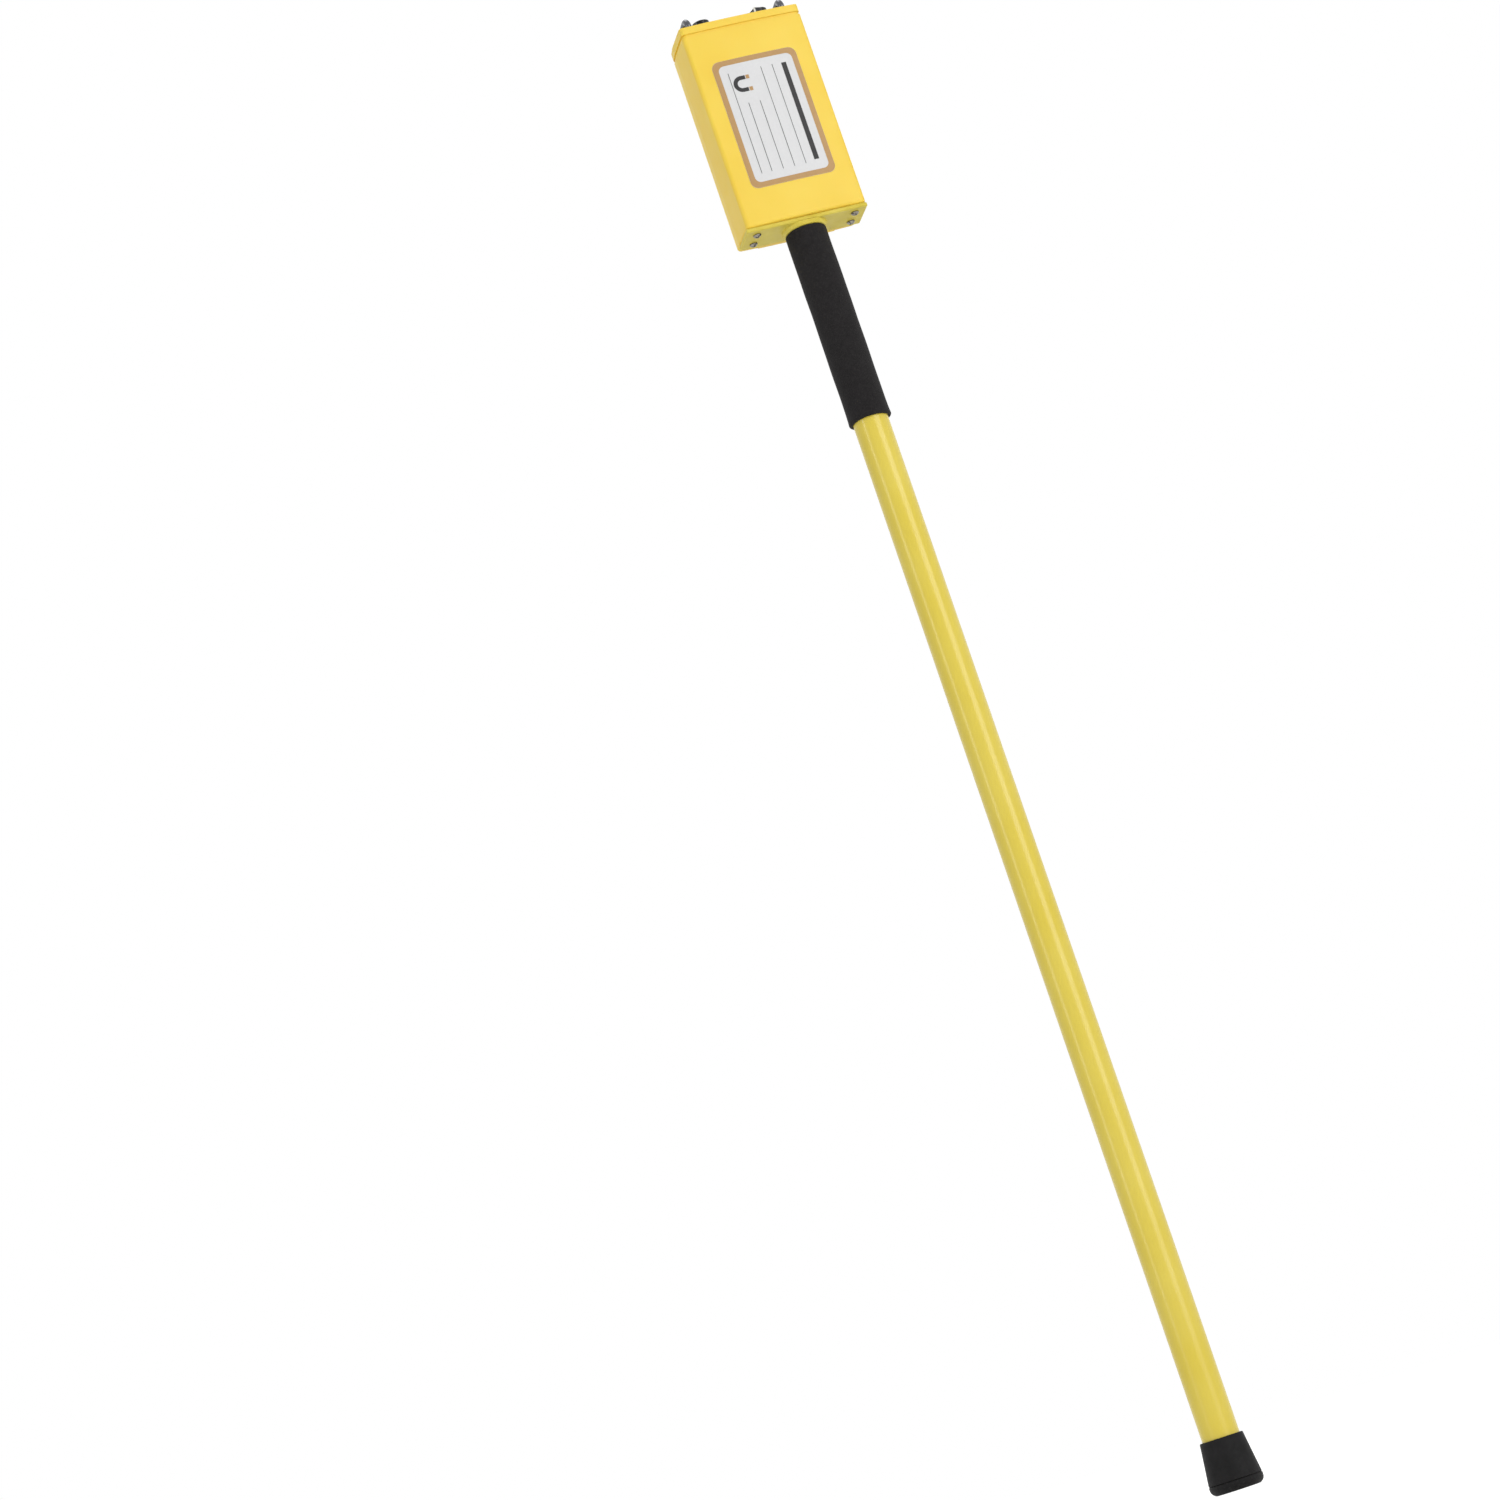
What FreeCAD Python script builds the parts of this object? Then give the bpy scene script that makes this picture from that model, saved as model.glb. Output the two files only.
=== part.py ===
import FreeCAD, Part
import math
import os
import Sketcher

# Magnetic locator for buried iron: a moulded two-shell head with a recessed control panel,
# on a painted tube that holds two sensors, with a foam grip and a rubber tip.
# Millimetres. Origin at the middle of the tip's bottom face, +Z up the tube, label face at -Y.

doc = FreeCAD.newDocument("MagneticLocator")
V = FreeCAD.Vector

# Driving dimensions, one cell each
SIZES = {
    # Pole, grip and tip
    "tube_radius": 12.7,
    "tube_wall": 1.65,
    "tip_height": 34.5,
    "tip_foot_radius": 18.2,
    "tip_neck_radius": 14.6,
    "tip_edge_radius": 4.5,
    "tip_line_height": 6.6,
    "tip_line_depth": 0.35,
    "tip_floor": 6.0,
    "grip_length": 147.0,
    "grip_radius": 15.0,
    "grip_flare": 0.5,
    "grip_edge": 1.6,
    "collar_height": 3.0,
    "collar_radius": 16.9,
    "collar_neck_radius": 15.0,
    # Sensors in the tube
    "sensor_spacing": 508.0,
    "sensor_length": 60.0,
    "sensor_radius": 4.5,
    "sensor_base": 62.0,
    "carrier_radius": 9.5,
    "carrier_end": 12.0,
    "spacer_length": 8.0,
    "plug_length": 12.0,
    "lead_radius": 2.0,
    # Head
    "head_base": 915.0,
    "head_height": 158.0,
    "shell_width": 91.0,
    "draft_inset": 0.8,
    "front_offset": 17.2,
    "front_depth": 29.5,
    "back_depth": 14.5,
    "crown": 1.4,
    "shell_wall": 2.5,
    "floor_thickness": 3.0,
    "front_edge": 2.8,
    "back_edge": 3.5,
    "inner_edge": 1.2,
    "base_edge": 1.3,
    "parting_gap": 0.1,
    "groove_drop": 5.4,
    "groove_width": 2.4,
    "groove_depth": 0.9,
    "rim_land": 1.0,
    "bezel_slope": 2.1,
    "bezel_depth": 8.5,
    "bezel_fillet": 1.6,
    "ledge_thickness": 1.5,
    "ledge_reach": 2.9,
    "ledge_reach_deep": 2.1,
    "opening_corner": 3.0,
    # Bosses, columns and screws of the head
    "boss_radius": 3.6,
    "boss_side": 7.3,
    "boss_low": 20.0,
    "boss_drop": 35.0,
    "shell_screw_radius": 1.5,
    "shell_screw_head": 2.75,
    "shell_screw_length": 20.0,
    "shell_head_height": 2.2,
    "counterbore_depth": 8.0,
    "pillar_radius": 3.3,
    "pillar_height": 9.0,
    "screw_gap": 0.2,
    "rib_reach": 3.0,
    "rib_width": 7.0,
    "rib_height": 5.0,
    # End plate
    "plate_step": 0.2,
    "plate_depth": 30.4,
    "plate_thickness": 3.2,
    "plate_corner": 1.6,
    "plate_chamfer": 0.7,
    "plate_screw_side": 8.8,
    "plate_screw_y": 7.6,
    "plate_screw_radius": 1.6,
    "plate_screw_head": 2.9,
    "plate_screw_rise": 2.2,
    "plate_screw_length": 10.0,
    # Control panel
    "panel_thickness": 1.6,
    "panel_side": 2.0,
    "overlay_side": 6.55,
    "overlay_thickness": 0.25,
    "seat_gap": 0.05,
    "knob_side": 13.3,
    "knob_shift": 0.5,
    "lamp_x": 4.4,
    "lamp_shift": 2.6,
    "lamp_radius": 2.5,
    "lamp_rise": 6.0,
    "lamp_flange": 2.9,
    "retainer_radius": 4.2,
    "retainer_height": 3.0,
    # Guard handles
    "rod_radius": 2.38,
    "handle_height": 22.0,
    "leg_spacing": 23.4,
    "handle_bend": 6.5,
    "handle_side": 10.3,
    "handle_shift": 1.6,
    "handle_screw_radius": 1.25,
    "handle_screw_length": 9.0,
    "handle_screw_head": 2.4,
    # Knobs
    "knob_radius": 6.35,
    "knob_height": 19.5,
    "knob_gap": 0.6,
    "flute_depth": 0.32,
    "flute_angle": 40.0,
    "flute_count": 50,
    "pointer_radius": 8.85,
    "pointer_tip": 1.2,
    "pointer_flat": 0.7,
    "pointer_root": 3.3,
    "cap_radius": 5.15,
    "cap_thickness": 0.7,
    "cap_seat": 0.5,
    "knob_recess_radius": 5.3,
    "knob_recess": 3.4,
    "shaft_radius": 1.6,
    "shaft_fit": 0.04,
    "shaft_top_wall": 5.0,
    "set_screw_radius": 1.25,
    "set_screw_length": 4.0,
    "set_screw_height": 7.5,
    "sensitivity_angle": -120.0,
    "volume_angle": 30.0,
    # Controls under the panel
    "bushing_radius": 3.175,
    "bushing_rise": 3.2,
    "switch_radius": 7.2,
    "switch_height": 16.0,
    "control_radius": 6.35,
    "control_height": 12.5,
    "nut_half": 3.97,
    "nut_height": 2.0,
    "washer_radius": 4.7,
    "washer_thickness": 0.5,
    # Circuit board, batteries, speaker
    "board_side": 3.6,
    "board_height": 78.0,
    "board_base": 14.0,
    "board_thickness": 1.6,
    "board_back": 3.2,
    "board_hole_side": 4.0,
    "board_hole_z": 35.0,
    "board_screw_radius": 1.1,
    "board_screw_head": 2.2,
    "board_screw_length": 8.0,
    "connector_width": 10.0,
    "connector_height": 9.0,
    "battery_width": 26.5,
    "battery_depth": 17.5,
    "battery_height": 46.5,
    "battery_edge": 1.5,
    "battery_gap": 0.4,
    "snap_height": 4.5,
    "speaker_radius": 18.0,
    "speaker_depth": 7.0,
    "speaker_magnet": 10.0,
    "speaker_drop": 67.0,
    "speaker_ring": 1.6,
    "speaker_ring_height": 4.0,
    "grille_hole": 1.6,
    "grille_pitch": 6.0,
    "grille_count": 6,
    # Battery door
    "door_side": 3.8,
    "door_height": 57.0,
    "door_lip": 2.0,
    "door_tongue": 1.5,
    "door_thickness": 3.2,
    "slide_gap": 0.3,
    # Front label
    "label_width": 63.0,
    "label_height": 99.5,
    "label_middle": 76.5,
    "label_corner": 5.5,
    "label_thickness": 0.2,
}

# Sizes that follow from the driving ones
DERIVED = {
    "half_width": "shell_width / 2",
    "split_y": "front_depth - front_offset",
    "front_y": "-front_offset",
    "back_y": "front_depth - front_offset + back_depth",
    "control_y": "(back_y + front_y) / 2",
    "front_crown_radius": "(half_width ^ 2 + crown ^ 2) / (2 * crown)",
    "back_crown_radius": "(half_width ^ 2 + crown ^ 2) / (2 * crown)",
    "head_top": "head_base + head_height",
    "plate_bottom": "head_base - plate_thickness",
    "ledge_top": "head_top - bezel_depth",
    "ledge_bottom": "ledge_top - ledge_thickness",
    "panel_top": "ledge_bottom",
    "panel_bottom": "panel_top - panel_thickness",
    "overlay_top": "panel_top + overlay_thickness",
    "bezel_knee": "bezel_depth - bezel_fillet",
    "bezel_turn": "bezel_depth - bezel_fillet * (1 - cos(45deg))",
    "bezel_turn_inset": "rim_land + bezel_slope + bezel_fillet * (1 - cos(45deg))",
    "bezel_knee_inset": "rim_land + bezel_slope",
    "bezel_foot_inset": "rim_land + bezel_slope + bezel_fillet",
    "base_turn": "base_edge * (1 - cos(45deg))",
    "tube_bore": "tube_radius - tube_wall",
    "carrier_top": "sensor_base + sensor_spacing + sensor_length + carrier_end",
    "grip_top": "plate_bottom - collar_height",
    "knob_y": "control_y + knob_shift",
    "lamp_y": "control_y - lamp_shift",
    "handle_y": "control_y - handle_shift",
    "knob_base": "overlay_top + knob_gap",
    "bushing_bore": "shaft_radius + shaft_fit",
    "nut_base": "overlay_top + washer_thickness",
    "board_middle": "head_base + board_base + board_height / 2",
    "board_front": "-board_back - board_thickness",
    "speaker_z": "head_top - speaker_drop",
    "boss_high": "head_height - boss_drop",
    "boss_x": "half_width - boss_side",
    "plate_half_x": "half_width - plate_step",
    "plate_screw_x": "half_width - plate_screw_side",
    "panel_half_x": "half_width - shell_wall - panel_side",
    "panel_half_y": "(back_y - front_y) / 2 - shell_wall - crown",
    "opening_half_x": "panel_half_x - ledge_reach",
    "opening_half_y": "panel_half_y - ledge_reach_deep",
    "handle_x": "half_width - handle_side",
    "knob_x": "handle_x - knob_side",
    "overlay_half_x": "handle_x - overlay_side",
    "board_half_x": "boss_x - boss_radius - board_side",
    "board_hole_x": "board_half_x - board_hole_side",
    "door_half_x": "boss_x - boss_radius - door_tongue - slide_gap - door_side",
    "door_back": "back_y - door_lip",
    "door_inner": "back_y - door_thickness",
    "battery_front": "door_inner - slide_gap - slide_gap - battery_depth",
    "flute_width": "flute_depth * 2 * tan(flute_angle)",
    "shaft_length": "knob_base + knob_height - shaft_top_wall - panel_bottom - seat_gap",
    "lead_length": "head_base + board_base - carrier_top - seat_gap",
    "carrier_length": "carrier_top - tip_floor - plug_length",
}

# Sizes that are also needed by halves
HALVED = ["plate_depth", "plate_screw_rise", "plate_screw_head", "shell_head_height", "shell_screw_head",
          "handle_screw_head", "board_screw_head", "label_width", "label_height", "leg_spacing",
          "board_height", "connector_width", "speaker_depth"]

# Round edges that are made of short straight steps, with the number of steps in a quarter turn
STEPPED = {"tip_edge_radius": 4, "grip_edge": 3, "lamp_radius": 4}

sheet = doc.addObject("Spreadsheet::Sheet", "Sizes")
row = 0
for alias, number in SIZES.items():
    row += 1
    sheet.set(f"A{row}", alias)
    sheet.set(f"B{row}", str(number))
    sheet.setAlias(f"B{row}", alias)
for alias, formula in DERIVED.items():
    row += 1
    sheet.set(f"A{row}", alias)
    sheet.set(f"B{row}", "=" + formula)
    sheet.setAlias(f"B{row}", alias)
for alias in HALVED:
    row += 1
    sheet.set(f"A{row}", alias + "_half")
    sheet.set(f"B{row}", f"={alias} / 2")
    sheet.setAlias(f"B{row}", alias + "_half")
for alias, steps in STEPPED.items():
    for step in range(1, steps):
        for part_name, function in (("_out", "sin"), ("_up", "cos")):
            row += 1
            name = f"{alias}{part_name}{step}"
            sheet.set(f"A{row}", name)
            sheet.set(f"B{row}", f"={alias} * {function}({90 * step / steps}deg)")
            sheet.setAlias(f"B{row}", name)
doc.recompute()

parts = []


def size(alias):
    """One number from the sheet."""
    return float(sheet.get(alias))


def total(names):
    """Adds up aliases such as "head_top -rim_land"; gives the number and the expression."""
    number = 0.0
    text = ""
    for name in names.split():
        sign = "-" if name.startswith("-") else "+"
        alias = name.lstrip("-")
        number += size(alias) if sign == "+" else -size(alias)
        text += f" {sign} Sizes.{alias}"
    return number, "0" + text


def bind(thing, **sums):
    """Ties properties of an object to sums of cells."""
    for name, names in sums.items():
        thing.setExpression(name, total(names)[1])
    return thing


def place(thing, x="", y="", z="", turn=None):
    """Ties an object's position to sums of cells, after an optional fixed turn."""
    if turn is not None:
        thing.Placement = FreeCAD.Placement(V(0, 0, 0), turn)
    for axis, names in (("x", x), ("y", y), ("z", z)):
        if names:
            thing.setExpression(f"Placement.Base.{axis}", total(names)[1])
    return thing


def keep(thing, label):
    """Marks a finished sub-part and gives it the name of its file."""
    thing.Label = label
    parts.append(thing)
    return thing


UP = V(0, 0, 1)
TO_FRONT = FreeCAD.Rotation(V(1, 0, 0), 90)
TO_BACK = FreeCAD.Rotation(V(1, 0, 0), -90)
TO_RIGHT = FreeCAD.Rotation(V(0, 1, 0), 90)
UPSIDE_DOWN = FreeCAD.Rotation(V(1, 0, 0), 180)


def turned(degrees):
    return FreeCAD.Rotation(V(0, 0, 1), degrees)


# Simple solids tied to the sheet
def cylinder(name, radius, height, x="", y="", z="", turn=None):
    solid = doc.addObject("Part::Cylinder", name)
    bind(solid, Radius=radius, Height=height)
    return place(solid, x, y, z, turn)


def cone(name, low, high, height, x="", y="", z="", turn=None):
    solid = doc.addObject("Part::Cone", name)
    bind(solid, Radius1=low, Radius2=high, Height=height)
    return place(solid, x, y, z, turn)


def block(name, low, high):
    """A box between two corners, each a triple of sums of cells."""
    solid = doc.addObject("Part::Box", name)
    for axis, side, start, end in zip("xyz", ("Length", "Width", "Height"), low, high):
        start_text = total(start)[1]
        end_text = total(end)[1]
        solid.setExpression(f"Placement.Base.{axis}", start_text)
        solid.setExpression(side, f"({end_text}) - ({start_text})")
    return solid


def fuse(name, shapes):
    solid = doc.addObject("Part::MultiFuse", name)
    solid.Shapes = shapes
    solid.Refine = True
    return solid


def cut(name, base, tools):
    """Cuts one or more tools out of a base."""
    tool = tools[0] if len(tools) == 1 else fuse(name + "Tools", tools)
    solid = doc.addObject("Part::Cut", name)
    solid.Base = base
    solid.Tool = tool
    return solid


def common(name, first, second):
    solid = doc.addObject("Part::Common", name)
    solid.Base = first
    solid.Tool = second
    return solid


def group(name, solids):
    """Several separate solids in one sub-part."""
    compound = doc.addObject("Part::Compound", name)
    compound.Links = solids
    return compound


def extrude(name, sketch, height, direction):
    solid = doc.addObject("Part::Extrusion", name)
    solid.Base = sketch
    solid.DirMode = "Custom"
    solid.Dir = direction
    solid.Solid = True
    solid.setExpression("LengthFwd", total(height)[1])
    return solid


def loft(name, sketches):
    solid = doc.addObject("Part::Loft", name)
    solid.Sections = sketches
    solid.Solid = True
    solid.Ruled = True
    return solid


# Sketch helpers
def origin_plane(body, role):
    return [f for f in body.Origin.OriginFeatures if f.Role == role][0]


def new_sketch(body, name, role):
    sketch = body.newObject("Sketcher::SketchObject", name)
    sketch.AttachmentSupport = [(origin_plane(body, role), "")]
    sketch.MapMode = "FlatFace"
    return sketch


def measure(sketch, kind, *where, names):
    """Adds a dimension and ties it to a sum of cells."""
    number, text = total(names)
    index = sketch.addConstraint(Sketcher.Constraint(kind, *where, number))
    sketch.setExpression(f"Constraints[{index}]", text)


def arc_middle(start, end, radius, side):
    """Centre of the arc between two points, on the left (1) or right (-1) of the way there."""
    chord = end - start
    rise = math.sqrt(max(radius ** 2 - chord.Length ** 2 / 4, 0.0))
    across = V(-chord.y, chord.x, 0).normalize()
    return (start + end) * 0.5 + across * rise * side


def profile(sketch, corners):
    """A closed outline through named corners.

    Each corner is (x, y), or (x, y, radius, side) where an arc leads on to the next corner,
    with its centre on the left (1) or the right (-1) of the way there."""
    spots = [V(total(c[0])[0], total(c[1])[0], 0) for c in corners]
    ends = []
    for number, corner in enumerate(corners):
        start = spots[number]
        end = spots[(number + 1) % len(corners)]
        if len(corner) == 2:
            index = sketch.addGeometry(Part.LineSegment(start, end))
            ends.append((index, 1, 2))
        else:
            radius = total(corner[2])[0]
            middle = arc_middle(start, end, radius, corner[3])
            angles = [math.atan2(p.y - middle.y, p.x - middle.x) for p in (start, end)]
            first, last = angles if corner[3] > 0 else angles[::-1]
            if last < first:
                last += 2 * math.pi
            circle = Part.Circle(middle, V(0, 0, 1), radius)
            index = sketch.addGeometry(Part.ArcOfCircle(circle, first, last))
            ends.append((index, 1, 2) if corner[3] > 0 else (index, 2, 1))
    for number, corner in enumerate(corners):
        index, first, last = ends[number]
        following = ends[(number + 1) % len(corners)]
        sketch.addConstraint(Sketcher.Constraint("Coincident", index, last, following[0], following[1]))
        measure(sketch, "DistanceX", -1, 1, index, first, names=corner[0])
        measure(sketch, "DistanceY", -1, 1, index, first, names=corner[1])
        if len(corner) == 4:
            measure(sketch, "Radius", index, names=corner[2])
    return sketch


def round_edge(alias, middle_x, middle_y, outward, upward, rising):
    """Corners on a quarter of a circle about a middle, in the steps that STEPPED gives.

    The quarter lies on the outer or inner, and upper or lower side of the middle, and the
    corners run up or down; its two ends are left to the caller."""
    corners = []
    for step in range(1, STEPPED[alias]):
        x = f"{middle_x} {outward}{alias}_out{step}"
        y = f"{middle_y} {upward}{alias}_up{step}"
        corners.append((x, y))
    return corners if rising else corners[::-1]


def circles(sketch, spots):
    """Circles at (x, y, radius), each a sum of cells."""
    for x, y, radius in spots:
        middle = V(total(x)[0], total(y)[0], 0)
        index = sketch.addGeometry(Part.Circle(middle, V(0, 0, 1), total(radius)[0]))
        measure(sketch, "DistanceX", -1, 1, index, 3, names=x)
        measure(sketch, "DistanceY", -1, 1, index, 3, names=y)
        measure(sketch, "Radius", index, names=radius)
    return sketch


def new_body(name):
    return doc.addObject("PartDesign::Body", name)


def revolve(name, corners):
    """A body turned from a profile of (radius, height) corners about its Z axis."""
    body = new_body(name)
    sketch = profile(new_sketch(body, name + "Profile", "XZ_Plane"), corners)
    turn = body.newObject("PartDesign::Revolution", name + "Turn")
    turn.Profile = sketch
    turn.ReferenceAxis = (sketch, ["V_Axis"])
    turn.Angle = 360
    sketch.Visibility = False
    return body


def pad(body, sketch, length):
    feature = body.newObject("PartDesign::Pad", sketch.Name + "Pad")
    feature.Profile = sketch
    feature.setExpression("Length", total(length)[1])
    return feature


def pocket_through(body, sketch):
    """Cuts a sketch on the XY plane upwards through the whole body."""
    before = body.Tip
    feature = body.newObject("PartDesign::Pocket", sketch.Name + "Pocket")
    feature.Profile = sketch
    feature.Type = "ThroughAll"
    feature.Reversed = True
    doc.recompute()
    if feature.Shape.Volume >= before.Shape.Volume:
        raise ValueError(f"{sketch.Name} cuts nothing")
    return feature


def rectangle_corners(half_x, half_y, corner):
    """A rounded rectangle about the sketch's origin, anticlockwise; sums without signs."""
    minus_x = "-" + half_x
    minus_y = "-" + half_y
    return [
        (f"{minus_x} {corner}", minus_y),
        (f"{half_x} -{corner}", minus_y, corner, 1),
        (half_x, f"{minus_y} {corner}"),
        (half_x, f"{half_y} -{corner}", corner, 1),
        (f"{half_x} -{corner}", half_y),
        (f"{minus_x} {corner}", half_y, corner, 1),
        (minus_x, f"{half_y} -{corner}"),
        (minus_x, f"{minus_y} {corner}", corner, 1),
    ]


# Rubber tip, a blunt cone with a blind bore that the tube is pushed into
tip = revolve("RubberTip", [
    ("", ""),
    ("tip_foot_radius -tip_edge_radius", ""),
    *round_edge("tip_edge_radius", "tip_foot_radius -tip_edge_radius", "tip_edge_radius", "", "-", True),
    ("tip_foot_radius", "tip_edge_radius"),
    ("tip_foot_radius", "tip_line_height -tip_line_depth"),
    ("tip_foot_radius -tip_line_depth", "tip_line_height"),
    ("tip_foot_radius -tip_line_depth", "tip_line_height tip_line_depth"),
    ("tip_neck_radius", "tip_height"),
    ("tube_radius seat_gap", "tip_height"),
    ("tube_radius seat_gap", "tip_floor"),
    ("", "tip_floor"),
])
keep(tip, "rubber_tip")

# Painted tube, open at both ends, from the tip up through the end plate
tube = revolve("PoleTube", [
    ("tube_bore", "tip_floor"),
    ("tube_radius", "tip_floor"),
    ("tube_radius", "head_base floor_thickness -seat_gap"),
    ("tube_bore", "head_base floor_thickness -seat_gap"),
])
keep(tube, "pole_tube")

# Foam grip, a sleeve that bulges a little where its cut ends are pressed
grip = revolve("FoamGrip", [
    ("tube_radius seat_gap", ""),
    ("grip_radius grip_flare -grip_edge", ""),
    *round_edge("grip_edge", "grip_radius grip_flare -grip_edge", "grip_edge", "", "-", True),
    ("grip_radius grip_flare", "grip_edge"),
    ("grip_radius", "grip_flare grip_edge grip_edge grip_edge"),
    ("grip_radius", "grip_length -grip_flare -grip_edge -grip_edge"),
    ("grip_radius", "grip_length -grip_edge"),
    *round_edge("grip_edge", "grip_radius -grip_edge", "grip_length -grip_edge", "", "", False),
    ("grip_radius -grip_edge", "grip_length"),
    ("tube_radius seat_gap", "grip_length"),
])
place(grip, z="grip_top -grip_length -seat_gap")
keep(grip, "foam_grip")

# Weld collar that joins the tube and the end plate, as wide as the plate lets it be
collar_ring = revolve("WeldRing", [
    ("tube_radius seat_gap", ""),
    ("collar_neck_radius", ""),
    ("collar_radius", "collar_height -plate_chamfer"),
    ("collar_radius", "collar_height"),
    ("tube_radius seat_gap", "collar_height"),
])
place(collar_ring, z="grip_top")
collar_block = block("WeldLimit", ("-collar_radius", "-plate_depth_half", "grip_top"),
                     ("collar_radius", "plate_depth_half", "plate_bottom"))
keep(common("WeldCollar", collar_ring, collar_block), "weld_collar")

# End plate with a bore for the tube and four screw holes
plate = new_body("EndPlate")
plate_outline = profile(new_sketch(plate, "PlateOutline", "XY_Plane"),
                        rectangle_corners("plate_half_x", "plate_depth_half", "plate_corner"))
slab = pad(plate, plate_outline, "plate_thickness")
doc.recompute()
level_faces = []
for number, face in enumerate(slab.Shape.Faces, 1):
    if face.BoundBox.ZLength < 0.001:
        level_faces.append(f"Face{number}")
bevel = plate.newObject("PartDesign::Chamfer", "PlateBevel")
bevel.Base = (slab, level_faces)
bevel.setExpression("Size", total("plate_chamfer")[1])
doc.recompute()
plate_holes = [("", "", "tube_radius seat_gap")]
for side_x in ("", "-"):
    for side_y in ("", "-"):
        spot = (side_x + "plate_screw_x", side_y + "plate_screw_y", "plate_screw_radius seat_gap")
        plate_holes.append(spot)
pocket_through(plate, circles(new_sketch(plate, "PlateHoles", "XY_Plane"), plate_holes))
place(plate, z="plate_bottom")
keep(plate, "end_plate")


def screw(name, radius, length, head, rise, x, y, z, turn):
    """A pan-head screw; its head stands out from the spot along the turned Z, its shank runs back."""
    out = turn.multVec(UP)
    above = [x, y, z]
    behind = [x, y, z]
    for axis in range(3):
        if abs(out[axis]) > 0.5:
            forward, backward = ("", "-") if out[axis] > 0 else ("-", "")
            above[axis] += f" {forward}{rise}_half"
            behind[axis] += f" {backward}{length}"
    rim = cylinder(name + "Rim", head, rise + "_half", x, y, z, turn)
    crown = cone(name + "Crown", head, head + "_half", rise + "_half", *above, turn)
    shank = cylinder(name + "Shank", radius, length, *behind, turn)
    return fuse(name, [rim, crown, shank])


# Four screws that hold the plate to the pillars in the front shell
plate_screws = []
for side_x in ("", "-"):
    for side_y in ("", "-"):
        number = len(plate_screws) + 1
        plate_screws.append(screw(f"PlateScrew{number}", "plate_screw_radius", "plate_screw_length",
                                  "plate_screw_head", "plate_screw_rise", side_x + "plate_screw_x",
                                  side_y + "plate_screw_y", "plate_bottom", UPSIDE_DOWN))
keep(group("PlateScrews", plate_screws), "end_plate_screws")


def flipped(names):
    """The same sum of cells with every sign changed."""
    return " ".join(n[1:] if n.startswith("-") else "-" + n for n in names.split())


def outline(name, height, inset, front_edge, back_edge):
    """The head's outline at a height, moved in by a size: crowned faces and drafted sides."""
    sketch = doc.addObject("Sketcher::SketchObject", name)
    inset_size = total(inset)[0]
    wide = size("half_width") - inset_size
    split = size("split_y")
    narrow = wide - size("draft_inset")
    quarter = math.pi / 2
    sides = []
    for end, edge, face in (("front", front_edge, -1), ("back", back_edge, 1)):
        crown_radius = size(end + "_crown_radius") - inset_size
        face_y = size(end + "_y") - face * inset_size
        edge_radius = size(edge)
        round_y = face_y - face * (size("crown") + edge_radius)
        left_side, right_side = [sketch.addGeometry(Part.LineSegment(
            V(hand * wide, split, 0), V(hand * narrow, round_y, 0))) for hand in (-1, 1)]
        crown_circle = Part.Circle(V(0, face_y - face * crown_radius, 0), UP, crown_radius)
        reach = math.asin((narrow - edge_radius) / crown_radius)
        crown_arc = sketch.addGeometry(Part.ArcOfCircle(
            crown_circle, face * quarter - reach, face * quarter + reach))
        left_round = Part.Circle(V(edge_radius - narrow, round_y, 0), UP, edge_radius)
        right_round = Part.Circle(V(narrow - edge_radius, round_y, 0), UP, edge_radius)
        if face < 0:
            left = sketch.addGeometry(Part.ArcOfCircle(left_round, 2 * quarter, 3 * quarter))
            right = sketch.addGeometry(Part.ArcOfCircle(right_round, 3 * quarter, 4 * quarter))
            joints = [(left_side, 2, left, 1), (left, 2, crown_arc, 1),
                      (crown_arc, 2, right, 1), (right, 2, right_side, 2)]
        else:
            left = sketch.addGeometry(Part.ArcOfCircle(left_round, quarter, 2 * quarter))
            right = sketch.addGeometry(Part.ArcOfCircle(right_round, 0, quarter))
            joints = [(left_side, 2, left, 2), (left, 1, crown_arc, 2),
                      (crown_arc, 1, right, 2), (right, 1, right_side, 2)]
        for joint in joints:
            sketch.addConstraint(Sketcher.Constraint("Tangent", *joint))
        sketch.addConstraint(Sketcher.Constraint("PointOnObject", crown_arc, 3, -2))
        measure(sketch, "Radius", left, names=edge)
        measure(sketch, "Radius", right, names=edge)
        measure(sketch, "Radius", crown_arc, names=f"{end}_crown_radius {flipped(inset)}")
        middle_sign = "" if face < 0 else "-"
        measure(sketch, "DistanceY", -1, 1, crown_arc, 3, names=f"{end}_y {middle_sign}{end}_crown_radius")
        measure(sketch, "DistanceX", left_side, 1, left_side, 2, names="draft_inset")
        measure(sketch, "DistanceX", right_side, 2, right_side, 1, names="draft_inset")
        sides.append((left_side, right_side))
    for hand, names in ((0, f"-half_width {inset}"), (1, f"half_width {flipped(inset)}")):
        front_side = sides[0][hand]
        back_side = sides[1][hand]
        sketch.addConstraint(Sketcher.Constraint("Coincident", front_side, 1, back_side, 1))
        measure(sketch, "DistanceX", -1, 1, front_side, 1, names=names)
        measure(sketch, "DistanceY", -1, 1, front_side, 1, names="split_y")
    place(sketch, z=height)
    return sketch


FRONTWARD = V(0, -1, 0)
OUTER = ("front_edge", "back_edge")
INNER = ("inner_edge", "inner_edge")


def head_prism(name, base, height, inset, edges):
    return extrude(name, outline(name + "Outline", base, inset, *edges), height, UP)


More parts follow.
